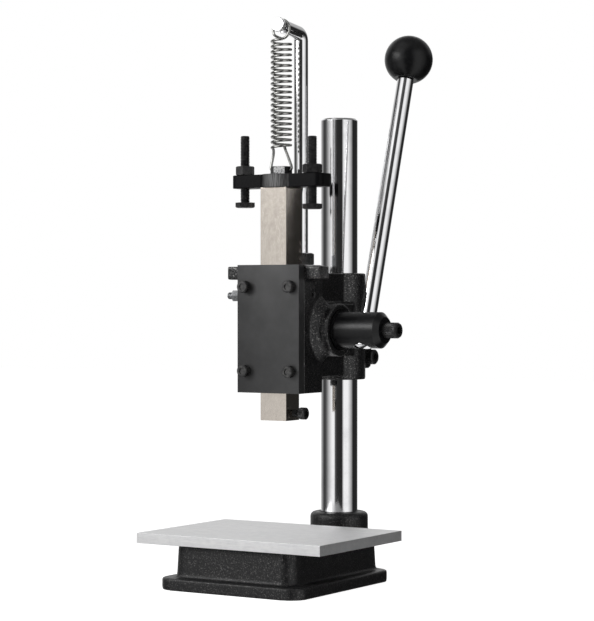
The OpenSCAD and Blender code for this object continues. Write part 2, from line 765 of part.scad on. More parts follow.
module ram() {
    color(NICKEL) difference() {
        block([-ram_w / 2, -ram_w / 2, ram_bottom], [ram_w / 2, ram_w / 2, ram_top]);
        for (i = [-rack_gaps_down : rack_gaps_up - 1])
            translate([ram_w / 2 + cut, rack_pitch_y, pinion_z + (i + 0.5) * tooth_pitch])
                rotate([90, 0, -90]) mirror([1, 0, 0]) linear_extrude(ram_w + 2 * cut) rack_gap();
        block([-ram_w, ram_w / 2 - ram_relief, ram_bottom - cut], [ram_w, ram_w, head_bottom]);
        translate([0, 0, ram_bottom - cut]) cylinder(d = tool_bore_d, h = tool_bore_depth + cut);
        x_rod(small_d + 2 * fit, 0, ram_w, 0, tool_screw_z);
        translate([0, 0, ram_top - yoke_bolt_grip - hole_spare])
            cylinder(d = yoke_bolt_d + 2 * fit, h = yoke_bolt_grip + hole_spare + cut);
    }
}

module stop_yoke() {
    color(BLACK_IRON) translate([0, 0, ram_top]) difference() {
        union() {
            linear_extrude(yoke_t)
                round_rect(-yoke_reach, -yoke_depth / 2, yoke_reach, yoke_depth / 2, yoke_corner_r);
            cylinder(d = yoke_mid_d, h = yoke_t);
        }
        translate([0, 0, -cut]) cylinder(d = yoke_bolt_d + 2 * fit, h = yoke_t + 2 * cut);
        for (side = [-1, 1])
            translate([side * stop_x, -stop_y, -cut]) cylinder(d = screw_d + 2 * fit, h = yoke_t + 2 * cut);
    }
}

module yoke_bolt() {
    color(ZINC) translate([0, 0, yoke_top]) difference() {
        union() {
            rotate([0, 0, yoke_bolt_turn]) hexagon(yoke_bolt_af, yoke_bolt_h);
            translate([0, 0, -yoke_t - yoke_bolt_grip])
                cylinder(d = yoke_bolt_d, h = yoke_t + yoke_bolt_grip + cut);
        }
        x_rod(wire_d + 2 * wire_gap, -yoke_bolt_af, yoke_bolt_af, 0, yoke_bolt_h / 2);
    }
}

// A hexagon bolt with its head down, its underside of the head on the XY plane
module stop_bolt(side, lower) {
    color(BLACK_STEEL) translate([side * stop_x, -stop_y, stop_head_z - lower]) {
        translate([0, 0, -stop_head_h]) hexagon(stop_head_af, stop_head_h);
        translate([0, 0, -cut]) cylinder(d = screw_d, h = stop_len + cut);
    }
}

module stop_nut(side, turn) {
    color(BLACK_STEEL) translate([side * stop_x, -stop_y, yoke_top]) rotate([0, 0, turn])
        hex_nut(screw_d, nut_af, nut_h);
}

module left_stop_nut() stop_nut(-1, left_nut_turn);
module right_stop_nut() stop_nut(1, 0);
module left_stop_bolt() stop_bolt(-1, 0);
module right_stop_bolt() stop_bolt(1, right_stop_lower);

module tool_clamp_screw() {
    head_x = ram_w / 2 + tool_screw_show;
    color(BLACK_STEEL) translate([head_x, 0, tool_screw_z]) rotate([0, 90, 0])
        socket_screw(small_d, head_x - tool_screw_tip, small_head_d, small_head_h, small_key);
}

// Involute of an angle, in degrees
function involute(a) = tan(a) * 180 / PI - a;
function flank_angle(r) = r <= base_circle_r ? 0 : acos(base_circle_r / r);
// Half the angle that a tooth takes up at radius r
function tooth_half(r) =
    (tooth_pitch / 2 - tooth_backlash) / 2 / pitch_r * 180 / PI
    + involute(pressure_angle) - involute(flank_angle(r));
function polar(r, a) = [r * cos(a), r * sin(a)];

// The pinion's outline, with a gap between two teeth on the +X axis
module pinion_outline() {
    low_r = max(base_circle_r, pinion_root_r);
    radii = concat([pinion_root_r], [for (i = [0 : flank_steps])
        low_r + (pinion_tip_r - low_r) * i / flank_steps]);
    count = len(radii);
    polygon([for (tooth = [0 : pinion_teeth - 1], i = [0 : 2 * count - 1])
        let (middle = (tooth + 0.5) * 360 / pinion_teeth, up = i < count,
            r = radii[up ? i : 2 * count - 1 - i])
        polar(r, middle + (up ? -1 : 1) * tooth_half(r))]);
}

// Places its children at the lever's axis, with +Z up along the lever
module on_lever_axis() {
    translate([lever_x, pinion_y, pinion_z]) rotate([-lever_lean, 0, 0]) children();
}

module pinion_shaft() {
    color(BLACK_STEEL) difference() {
        union() {
            translate([-pinion_face, pinion_y, pinion_z]) rotate([0, 90, 0]) rotate([0, 0, -90])
                linear_extrude(2 * pinion_face) pinion_outline();
            x_rod(journal_d, -box_x, -pinion_face + cut, pinion_y, pinion_z);
            x_rod(bearing_d, pinion_face, hub_x0, pinion_y, pinion_z);
            x_rod(hub_d, hub_x0 - cut, hub_x1 - hub_chamfer, pinion_y, pinion_z);
            translate([hub_x1 - hub_chamfer, pinion_y, pinion_z]) rotate([0, 90, 0])
                cylinder(d1 = hub_d, d2 = hub_d - 2 * hub_chamfer, h = hub_chamfer);
        }
        on_lever_axis() translate([0, 0, -hub_d]) cylinder(d = lever_d + 2 * fit, h = 2 * hub_d);
        x_rod(screw_d + 2 * fit, lever_x, hub_x1 + cut, pinion_y, pinion_z);
        x_rod(screw_d + 2 * fit, -box_x - cut, -pinion_face, pinion_y, pinion_z);
    }
}

module shaft_end_washer() {
    color(BLACK_STEEL) difference() {
        x_rod(end_washer_d, -box_x - end_gap - end_washer_t, -box_x - end_gap, pinion_y, pinion_z);
        x_rod(screw_d + 2 * fit, -head_w, 0, pinion_y, pinion_z);
    }
}

module shaft_end_screw() {
    grip = box_x - pinion_face - hole_spare;
    color(BLACK_STEEL) translate([-box_x - end_gap - end_washer_t, pinion_y, pinion_z]) rotate([0, -90, 0])
        socket_screw(screw_d, end_washer_t + end_gap + grip, screw_head_d, screw_head_h, screw_key);
}

module lever_rod() {
    shoulder = lever_len - ball_flat;
    tail = hub_d / 2 - lever_tail_inset;
    color(CHROME) on_lever_axis() {
        translate([0, 0, -tail]) cylinder(d = lever_d, h = tail + shoulder);
        translate([0, 0, shoulder - cut])
            cylinder(d = ball_thread_d, h = ball_bore_depth - hole_spare + cut);
    }
}

module lever_ball() {
    color(BLACK_PLASTIC) on_lever_axis() translate([0, 0, lever_len]) difference() {
        sphere(d = ball_d);
        translate([0, 0, -ball_flat - ball_d]) cylinder(d = 2 * ball_d, h = ball_d);
        translate([0, 0, -ball_d]) cylinder(d = ball_thread_d + 2 * fit, h = ball_d - ball_flat + ball_bore_depth);
    }
}

module hub_end_screw() {
    tip_x = lever_x + lever_d / 2 + fit;
    color(BLACK_STEEL) translate([hub_x1, pinion_y, pinion_z]) rotate([0, 90, 0])
        socket_screw(screw_d, hub_x1 - tip_x, screw_head_d, hub_screw_head_h, screw_key);
}

base_casting();
work_plate();
plate_screws();
column();
collar_set_screw();
head_casting();
front_cover();
cover_screws();
clamp_bolts();
clamp_nuts();
gib_strip();
gib_screw();
gib_lock_nut();
side_set_screw();
spring_post();
post_lock_nut();
return_spring();
ram();
stop_yoke();
yoke_bolt();
left_stop_nut();
right_stop_nut();
left_stop_bolt();
right_stop_bolt();
tool_clamp_screw();
pinion_shaft();
shaft_end_washer();
shaft_end_screw();
lever_rod();
lever_ball();
hub_end_screw();
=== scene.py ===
"""Looks of a manual die-cutting press, built round its packed parts.

The press stands with its origin on the bench, under the ram's axis. +Z is up, -Y faces the user and +X
points out along the lever hub. Lengths are in metres unless a name says otherwise.
"""
import logging
import math
from collections.abc import Callable, Iterable, Iterator, Mapping, Sequence
from contextlib import contextmanager
from dataclasses import dataclass, replace
from enum import Enum
from typing import Any, ClassVar

import bmesh
import bpy
import numpy as np
from mathutils import Matrix, Vector


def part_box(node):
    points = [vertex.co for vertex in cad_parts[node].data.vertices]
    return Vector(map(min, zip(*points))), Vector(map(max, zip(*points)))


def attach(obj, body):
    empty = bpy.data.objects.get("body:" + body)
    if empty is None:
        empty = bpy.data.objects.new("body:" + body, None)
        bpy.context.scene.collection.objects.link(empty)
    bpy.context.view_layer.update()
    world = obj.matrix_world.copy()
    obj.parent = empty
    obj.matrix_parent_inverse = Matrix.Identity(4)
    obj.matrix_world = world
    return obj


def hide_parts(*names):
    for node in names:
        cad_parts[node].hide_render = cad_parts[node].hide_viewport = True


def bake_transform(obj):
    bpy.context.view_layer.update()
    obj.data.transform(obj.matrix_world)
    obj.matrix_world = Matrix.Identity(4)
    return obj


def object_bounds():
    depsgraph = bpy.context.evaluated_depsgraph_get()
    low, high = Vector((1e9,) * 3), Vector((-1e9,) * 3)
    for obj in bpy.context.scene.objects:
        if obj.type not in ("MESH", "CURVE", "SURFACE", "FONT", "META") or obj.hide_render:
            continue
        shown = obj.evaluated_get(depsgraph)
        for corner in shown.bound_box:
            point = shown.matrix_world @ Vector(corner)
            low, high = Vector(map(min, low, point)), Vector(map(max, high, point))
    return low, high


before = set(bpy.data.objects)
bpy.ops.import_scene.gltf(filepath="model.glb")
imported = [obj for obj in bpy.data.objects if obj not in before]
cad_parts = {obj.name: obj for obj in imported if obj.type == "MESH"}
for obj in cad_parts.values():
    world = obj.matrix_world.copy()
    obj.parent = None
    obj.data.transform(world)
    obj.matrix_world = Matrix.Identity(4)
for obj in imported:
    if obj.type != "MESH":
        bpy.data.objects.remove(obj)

LOG = logging.getLogger("press")
CAD_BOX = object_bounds()
MM = 0.001
# Mesh layer of edge wear, which on the yoke and its bolt holds the spot of a painted highlight instead.
WEAR = "wear"
THICKNESS = "thickness"
HEX_SIDES = 6
HEX_HALF = 30.0  # degrees from a hexagon's corner to the middle of its side
CUT_CORNER = math.radians(32)
THREAD_CORNER = math.radians(50)
CAST_CORNER = math.radians(80)

Colour = tuple[float, float, float]
Stretch = tuple[float, float, float]
Span = tuple[float, float]
WHITE: Colour = (1.0, 1.0, 1.0)
EVEN: Stretch = (1, 1, 1)
UP = Vector((0, 0, 1))
RIGHT = Vector((1, 0, 0))
FRONT = Vector((0, -1, 0))


class Body(Enum):
    """The bodies of the press that move on their own."""

    STAND = "stand"
    HEAD = "head"
    RAM = "ram_set"
    LEVER = "lever_set"
    LEFT_STOP = "left_stop"
    RIGHT_STOP = "right_stop"
    TOOL_SCREW = "tool_screw"


class Slot(Enum):
    """The material slots of the record."""

    CASTING = "black_casting"
    COVER = "black_cover"
    SCREW = "black_screw"
    SHAFT = "black_shaft"
    CHROME = "chrome"
    PLATE = "plate_aluminium"
    RAM = "ground_steel"
    SPRING = "spring_steel"
    ZINC = "zinc_screw"
    BRASS = "gib_brass"
    BALL = "ball_plastic"


def operator(operation: str, reflected: bool = False) -> Callable[["Wire", Any], "Wire"]:
    """Makes a method of Wire for one of Python's operators.

    Args:
        operation: The Math node's operation. A comparison gives 1 where it holds, else 0.
        reflected: True where the wire is the second value.

    Returns:
        The method.
    """
    def method(self: "Wire", other: Any) -> "Wire":
        """Adds the Math node."""
        return self.graph.math(operation, *((other, self) if reflected else (self, other)))

    return method


class Wire:
    """A node's output that takes part in Python expressions."""

    def __init__(self, graph: "Graph", socket: bpy.types.NodeSocket) -> None:
        """Keeps the socket and the graph that it lies in."""
        self.graph = graph
        self.socket = socket

    def at(self, name: str) -> "Wire":
        """Another output of the same node."""
        return Wire(self.graph, self.socket.node.outputs[name])

    def math(self, operation: str, *values: Any) -> "Wire":
        """A Math node on this value and up to two more."""
        return self.graph.math(operation, self, *values)

    __add__ = __radd__ = operator("ADD")
    __sub__ = operator("SUBTRACT")
    __rsub__ = operator("SUBTRACT", True)
    __mul__ = __rmul__ = operator("MULTIPLY")
    __truediv__ = operator("DIVIDE")
    __rtruediv__ = operator("DIVIDE", True)
    __gt__ = operator("GREATER_THAN")
    __lt__ = operator("LESS_THAN")

    def __abs__(self) -> "Wire":
        """The value without its sign."""
        return self.math("ABSOLUTE")

    def ramp(self, span: Span, start: float = 0.0, end: float = 1.0) -> "Wire":
        """Eases from start to end while this value goes through a span.

        Args:
            span: Values at which the result leaves start and reaches end.
            start: Result below the span.
            end: Result above it.

        Returns:
            The eased value.
        """
        low, high = span
        return self.graph.node("ShaderNodeMapRange", {"interpolation_type": "SMOOTHSTEP"}, {
            "Value": self, "From Min": low, "From Max": high, "To Min": start, "To Max": end})


class Graph:
    """A node tree that is put together by calls: a material's, the world's or a modifier's."""

    def __init__(self, tree: bpy.types.NodeTree) -> None:
        """Starts from an emptied tree."""
        self.tree = tree
        tree.nodes.clear()

    def feed(self, socket: bpy.types.NodeSocket, value: Any) -> None:
        """Sets a socket.

        Args:
            socket: The input to set.
            value: A wire or a list of wires to link, or a plain value.
        """
        if socket.is_multi_input:
            for wire in value:
                self.tree.links.new(wire.socket, socket)
        elif isinstance(value, Wire):
            self.tree.links.new(value.socket, socket)
        elif socket.type == "RGBA":
            socket.default_value = (*value, 1.0)
        else:
            socket.default_value = value

    def node(self, kind: str, settings: Mapping[str, Any] | None = None,
             inputs: Mapping[str | int, Any] | None = None) -> Wire:
        """Adds a node.

        Args:
            kind: The node's type.
            settings: Its properties, set first. "stops" holds a ramp's places and levels.
            inputs: Values or wires, by the socket's name or number.

        Returns:
            The node's first output in use, or its first input where it has none.
        """
        made = self.tree.nodes.new(kind)
        for name, value in (settings or {}).items():
            if name == "stops":
                stops = made.color_ramp.elements
                for place, _ in value[len(stops):]:
                    stops.new(place)
                for stop, (place, level) in zip(stops, value):
                    stop.position = place
                    stop.color = (level, level, level, 1.0)
            else:
                setattr(made, name, value)
        for key, value in (inputs or {}).items():
            if isinstance(key, int):
                self.feed(made.inputs[key], value)
            else:
                self.feed(next(s for s in made.inputs if s.enabled and s.name == key), value)
        outputs = [s for s in made.outputs if s.enabled]
        return Wire(self, outputs[0] if outputs else made.inputs[0])

    def math(self, operation: str, *values: Any) -> Wire:
        """A Math node on up to three values or wires."""
        return self.node("ShaderNodeMath", {"operation": operation}, dict(enumerate(values)))

    def parts(self, vector: Wire) -> tuple[Wire, Wire, Wire]:
        """The three numbers of a vector."""
        split = self.node("ShaderNodeSeparateXYZ", {}, {0: vector})
        return split.at("X"), split.at("Y"), split.at("Z")

    def point(self, x: Any, y: Any, z: Any) -> Wire:
        """A vector made of three numbers."""
        return self.node("ShaderNodeCombineXYZ", {}, {0: x, 1: y, 2: z})

    def mix(self, share: Any, first: Any, second: Any) -> Wire:
        """A colour between two colours."""
        return self.node("ShaderNodeMix", {"data_type": "RGBA"}, {"Factor": share, "A": first, "B": second})


class Shader(Graph):
    """A material under construction, whose patterns lie on Object coordinates."""

    octave_share: ClassVar[float] = 0.6

    def __init__(self, name: str) -> None:
        """Starts an empty material."""
        self.material = bpy.data.materials.new(name)
        self.material.use_nodes = True
        super().__init__(self.material.node_tree)
        self.place = self.node("ShaderNodeTexCoord").at("Object")

    def mapped(self, size: float, stretch: Stretch) -> Wire:
        """Coordinates in which one unit is size metres, drawn out by stretch."""
        return self.node("ShaderNodeMapping", {}, {
            "Vector": self.place, "Scale": [1.0 / (size * factor) for factor in stretch]})

    def noise(self, size: float, detail: float = 2.0, stretch: Stretch = EVEN) -> Wire:
        """Cloudy noise with patches of about size metres, drawn out by stretch."""
        return self.node("ShaderNodeTexNoise", {}, {
            "Vector": self.mapped(size, stretch), "Scale": 1.0, "Detail": detail,
            "Roughness": self.octave_share})

    def cells(self, size: float) -> Wire:
        """Distance from the middle of pebble-like cells of about size metres."""
        return self.node("ShaderNodeTexVoronoi", {}, {"Vector": self.mapped(size, EVEN), "Scale": 1.0})

    def wear(self) -> Wire:
        """How far a spot lies on an eased edge, from the mesh."""
        return self.node("ShaderNodeAttribute", {"attribute_name": WEAR}).at("Fac")

    def close(self, colour: Wire, roughness: Wire, height: Wire, depth: float,
              others: Mapping[str, Any]) -> None:
        """Closes the material with its surface.

        Args:
            colour: Base colour.
            roughness: Roughness.
            height: Relief, between 0 and 1.
            depth: Metres that a relief of 1 stands for.
            others: Other inputs of the surface, by their names.
        """
        normal = self.node("ShaderNodeBump", {}, {"Strength": 1.0, "Distance": depth, "Height": height})
        surface = self.node("ShaderNodeBsdfPrincipled", {}, {
            "Base Color": colour, "Roughness": roughness, "Normal": normal, **others})
        self.node("ShaderNodeOutputMaterial", {}, {"Surface": surface})


class Finish:
    """A finish of the press, which lays its patterns on a material."""

    def material(self, name: str) -> bpy.types.Material:
        """Builds the finish.

        Args:
            name: The material's name.

        Returns:
            The finished material.
        """
        shader = Shader(name)
        self.lay(shader)
        return shader.material

    def lay(self, shader: Shader) -> None:
        """Lays the patterns on an empty material and closes it."""
        raise NotImplementedError


@dataclass(frozen=True)
class CastPaint(Finish):
    """Thin black paint on rough sand-cast iron, with rubbed edges and bright grit."""

    dark: Colour = (0.004, 0.004, 0.005)
    pale: Colour = (0.022, 0.022, 0.023)
    rubbed: Colour = (0.060, 0.059, 0.058)
    speck: Colour = (0.22, 0.216, 0.212)
    grain: float = 1.8 * MM
    pebble: float = 2.34 * MM
    grit: float = 1.08 * MM
    patch: float = 14 * MM
    depth: float = 0.42 * MM
    sand_height: float = 0.75
    pebble_height: float = 0.35
    gloss: float = 0.20
    patch_haze: float = 0.12
    sand_haze: float = 0.08
    shade_span: Span = (0.42, 0.70)
    grit_span: Span = (0.56, 0.70)
    rub_span: Span = (0.35, 0.6)
    rub_share: float = 0.45

    def lay(self, shader: Shader) -> None:
        """Lays sand, pebbles and grit.

        Args:
            shader: The material under construction.
        """
        sand = shader.noise(self.grain, detail=4.0)
        pebbles = shader.cells(self.pebble)
        patches = shader.noise(self.patch)
        grit = shader.noise(self.grit, detail=1.0).ramp(self.grit_span)
        edge = shader.wear() * sand.ramp(self.rub_span)
        colour = shader.mix(sand.ramp(self.shade_span), self.dark, self.pale)
        colour = shader.mix(edge * self.rub_share, colour, self.rubbed)
        colour = shader.mix(grit, colour, self.speck)
        roughness = self.gloss + self.patch_haze * patches + self.sand_haze * sand
        height = self.sand_height * sand + self.pebble_height * pebbles
        shader.close(colour, roughness, height, self.depth, {"Metallic": grit})


@dataclass(frozen=True)
class SatinBlack(Finish):
    """Smooth black plate, hand-ground a little round, with a silky sheen and faint rubbing marks."""

    node: str = "front_cover"
    side_tilt: float = math.radians(9)
    top_tilt: float = math.radians(3)
    dark: Colour = (0.060, 0.060, 0.061)
    pale: Colour = (0.076, 0.076, 0.077)
    rubbed: Colour = (0.14, 0.14, 0.14)
    cloud: float = 22 * MM
    rub: float = 0.7 * MM
    rub_stretch: Stretch = (1, 1, 26)
    tooth: float = 0.45 * MM
    depth: float = 0.03 * MM
    gloss: float = 0.25
    cloud_haze: float = 0.10
    rub_haze: float = 0.06
    metal: float = 0.25
    cloud_span: Span = (0.3, 0.7)
    rub_span: Span = (0.3, 0.6)
    rub_share: float = 0.5

    def lay(self, shader: Shader) -> None:
        """Lays clouds, rubs and the crown.

        Args:
            shader: The material under construction.
        """
        clouds = shader.noise(self.cloud, detail=3.0)
        rubs = shader.noise(self.rub, stretch=self.rub_stretch)
        colour = shader.mix(clouds.ramp(self.cloud_span), self.dark, self.pale)
        edge = shader.wear() * rubs.ramp(self.rub_span)
        colour = shader.mix(edge * self.rub_share, colour, self.rubbed)
        roughness = self.gloss + self.cloud_haze * clouds + self.rub_haze * rubs
        height = shader.noise(self.tooth) + self.crown(shader)
        shader.close(colour, roughness, height, self.depth, {"Metallic": self.metal})

    def crown(self, shader: Shader) -> Wire:
        """How far the ground face falls off from its middle.

        Args:
            shader: The material under construction.

        Returns:
            The fall as a share of the relief's depth.
        """
        low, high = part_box(self.node)
        x, _, z = shader.parts(shader.place)
        across = x - (low.x + high.x) / 2
        along = z - (low.z + high.z) / 2
        fall_x = math.tan(self.side_tilt) / (high.x - low.x) / self.depth
        fall_z = math.tan(self.top_tilt) / (high.z - low.z) / self.depth
        return 0 - across * across * fall_x - along * along * fall_z


@dataclass(frozen=True)
class BlackOxide(Finish):
    """Blackened steel of screws, nuts and the pinion shaft, or thin paint with bare spots."""

    dark: Colour = (0.026, 0.026, 0.028)
    pale: Colour = (0.066, 0.065, 0.065)
    rubbed: Colour = (0.18, 0.175, 0.17)
    gloss: float = 0.34
    metal: float = 0.45
    sheen: float = 0.5
    bare: float = 0.5
    along: Stretch = EVEN
    stain: float = 3 * MM
    stain_haze: float = 0.18
    stain_span: Span = (0.3, 0.75)
    bare_span: Span = (0.25, 0.6)
    turning: float = 0.25 * MM
    turning_stretch: Stretch = (1, 8, 8)
    depth: float = 0.02 * MM

    def lay(self, shader: Shader) -> None:
        """Lays stains, bare edges and the marks of turning.

        Args:
            shader: The material under construction.
        """
        stain = shader.noise(self.stain, detail=3.0, stretch=self.along)
        turned = shader.noise(self.turning, stretch=self.turning_stretch)
        colour = shader.mix(stain.ramp(self.stain_span), self.dark, self.pale)
        # Bare edges are real wear; on a spot that Form.rubbed marks, the rubbed colour is a painted
        # highlight.
        edge = shader.wear() * stain.ramp(self.bare_span)
        colour = shader.mix(edge * self.bare, colour, self.rubbed)
        roughness = self.gloss + self.stain_haze * stain
        shader.close(colour, roughness, turned, self.depth, {
            "Metallic": self.metal, "Specular IOR Level": self.sheen})


@dataclass(frozen=True)
class Chrome(Finish):
    """Hard chrome on ground bar, with a few hazy rubs."""

    clear: Colour = (0.86, 0.86, 0.87)
    hazy: Colour = (0.74, 0.74, 0.75)
    haze: float = 18 * MM
    haze_span: Span = (0.45, 0.8)
    dull_span: Span = (0.4, 0.8)
    gloss: float = 0.055
    dull: float = 0.06
    line: float = 0.3 * MM
    line_stretch: Stretch = (6, 6, 1)
    line_haze: float = 0.02
    depth: float = 0.004 * MM

    def lay(self, shader: Shader) -> None:
        """Lays haze and the fine lines of grinding.

        Args:
            shader: The material under construction.
        """
        haze = shader.noise(self.haze, detail=4.0)
        lines = shader.noise(self.line, stretch=self.line_stretch)
        colour = shader.mix(haze.ramp(self.haze_span), self.clear, self.hazy)
        roughness = self.gloss + self.dull * haze.ramp(self.dull_span) + self.line_haze * lines
        shader.close(colour, roughness, lines, self.depth, {"Metallic": 1.0})


@dataclass(frozen=True)
class GroundMetal(Finish):
    """Bare metal with the fine lines of grinding, milling or drawing along one way."""

    dark: Colour
    pale: Colour
    along: Stretch
    gloss: float = 0.30
    line: float = 0.35 * MM
    scratch: float = 0.84 * MM
    scratch_length: float = 3.0
    cloud: float = 6 * MM
    depth: float = 0.02 * MM
    line_shade: float = 0.45
    scratch_shade: float = 0.25
    cloud_shade: float = 0.3
    shade_span: Span = (0.34, 0.64)
    line_haze: float = 0.14
    cloud_haze: float = 0.08
    edge_polish: float = 0.08

    def lay(self, shader: Shader) -> None:
        """Lays lines, scratches and clouds.

        Args:
            shader: The material under construction.
        """
        lines = shader.noise(self.line, detail=3.0, stretch=self.along)
        drawn = tuple(self.scratch_length * factor for factor in self.along)
        scratches = shader.noise(self.scratch, stretch=drawn)
        clouds = shader.noise(self.cloud, detail=3.0)
        shade = self.line_shade * lines + self.scratch_shade * scratches + self.cloud_shade * clouds
        colour = shader.mix(shade.ramp(self.shade_span), self.dark, self.pale)
        roughness = self.gloss + self.line_haze * lines + self.cloud_haze * clouds
        roughness = roughness - self.edge_polish * shader.wear()
        shader.close(colour, roughness, lines, self.depth, {"Metallic": 1.0})


@dataclass(frozen=True)
class BallPlastic(Finish):
    """Glossy black thermoset of the ball, with hand rubs."""

    dark: Colour = (0.006, 0.006, 0.007)
    pale: Colour = (0.014, 0.014, 0.015)
    rub: float = 7 * MM
    tint_span: Span = (0.35, 0.7)
    dull_span: Span = (0.4, 0.75)
    gloss: float = 0.30
    dull: float = 0.10
    sheen: float = 0.3
    ripple: float = 3 * MM
    depth: float = 0.01 * MM

    def lay(self, shader: Shader) -> None:
        """Lays rubs and a faint ripple.

        Args:
            shader: The material under construction.
        """
        rubs = shader.noise(self.rub, detail=4.0)
        colour = shader.mix(rubs.ramp(self.tint_span), self.dark, self.pale)
        roughness = self.gloss + self.dull * rubs.ramp(self.dull_span)
        shader.close(colour, roughness, shader.noise(self.ripple), self.depth, {
            "Specular IOR Level": self.sheen})


FINISHES: dict[Slot, Finish] = {
    Slot.CASTING: CastPaint(),
    Slot.COVER: SatinBlack(),
    Slot.SCREW: BlackOxide(),
    Slot.SHAFT: BlackOxide((0.003, 0.003, 0.004), (0.007, 0.007, 0.008), gloss=0.24, metal=0.0, sheen=0.38),
    Slot.CHROME: Chrome(),
    Slot.PLATE: GroundMetal((0.82, 0.82, 0.83), (0.95, 0.95, 0.95), (20, 1, 1), 0.42),
    Slot.RAM: GroundMetal((0.79, 0.715, 0.64), (0.92, 0.845, 0.76), (1, 1, 5), 0.05),
    Slot.SPRING: GroundMetal((0.24, 0.24, 0.23), (0.54, 0.54, 0.52), EVEN, 0.14),
    Slot.ZINC: GroundMetal((0.30, 0.31, 0.32), (0.70, 0.71, 0.72), (1, 1, 4), 0.18),
    Slot.BRASS: GroundMetal((0.52, 0.38, 0.16), (0.74, 0.58, 0.30), (1, 1, 16), 0.32),
    Slot.BALL: BallPlastic(),
}
BASE_FINISH = CastPaint(pale=(0.016, 0.016, 0.017), speck=(0.14, 0.137, 0.134), gloss=0.34)
# The yoke's black paint. Its pale rubbed colour, laid on the spot that RamSet marks at the yoke's front, is
# a painted highlight on the bulge.
YOKE_PAINT_AND_HIGHLIGHT = BlackOxide((0.004, 0.004, 0.005), (0.008, 0.008, 0.009), (0.42, 0.42, 0.42), gloss=0.36,
                         metal=0.0, sheen=0.1, bare=0.95, along=(0.25, 0.25, 5))
# Dark steel of the yoke bolt. Its pale bare colour, laid on the front flat that RamSet marks, is a painted
# highlight.
BOLT_STEEL_AND_HIGHLIGHT = BlackOxide((0.03, 0.03, 0.031), (0.07, 0.07, 0.071), (0.95, 0.95, 0.95), metal=1.0, bare=1.0,
                         along=(0.4, 0.4, 0.4))
PALE_SCREW_FINISH = BlackOxide((0.05, 0.05, 0.051), (0.12, 0.118, 0.116), gloss=0.30, metal=0.6)


@contextmanager
def editing(mesh: bpy.types.Mesh) -> Iterator[bmesh.types.BMesh]:
    """Opens a mesh for editing and writes it back.

    Args:
        mesh: The mesh.

    Yields:
        Its editable form.
    """
    work = bmesh.new()
    work.from_mesh(mesh)
    yield work
    work.to_mesh(mesh)
    work.free()


def settled(helper: bpy.types.Object) -> bpy.types.Mesh:
    """Turns an object with modifiers into a plain mesh.

    Args:
        helper: An object in the scene, which is removed.

    Returns:
        The evaluated mesh.
    """
    graph = bpy.context.evaluated_depsgraph_get()
    mesh = bpy.data.meshes.new_from_object(helper.evaluated_get(graph))
    source = helper.data
    helper.modifiers.clear()
    bpy.data.objects.remove(helper)
    bpy.data.meshes.remove(source)
    return mesh


def shown(name: str, data: bpy.types.ID) -> bpy.types.Object:
    """Puts a mesh, a lamp or a camera into the scene as an object at the origin.

    Args:
        name: The object's name.
        data: What it shows.

    Returns:
        The object.
    """
    made = bpy.data.objects.new(name, data)
    bpy.context.scene.collection.objects.link(made)
    return made


def facing(axis: Vector, origin: Vector = Vector()) -> Matrix:
    """A placing that takes +Z to axis and the origin to a point."""
    return Matrix.Translation(origin) @ UP.rotation_difference(axis).to_matrix().to_4x4()


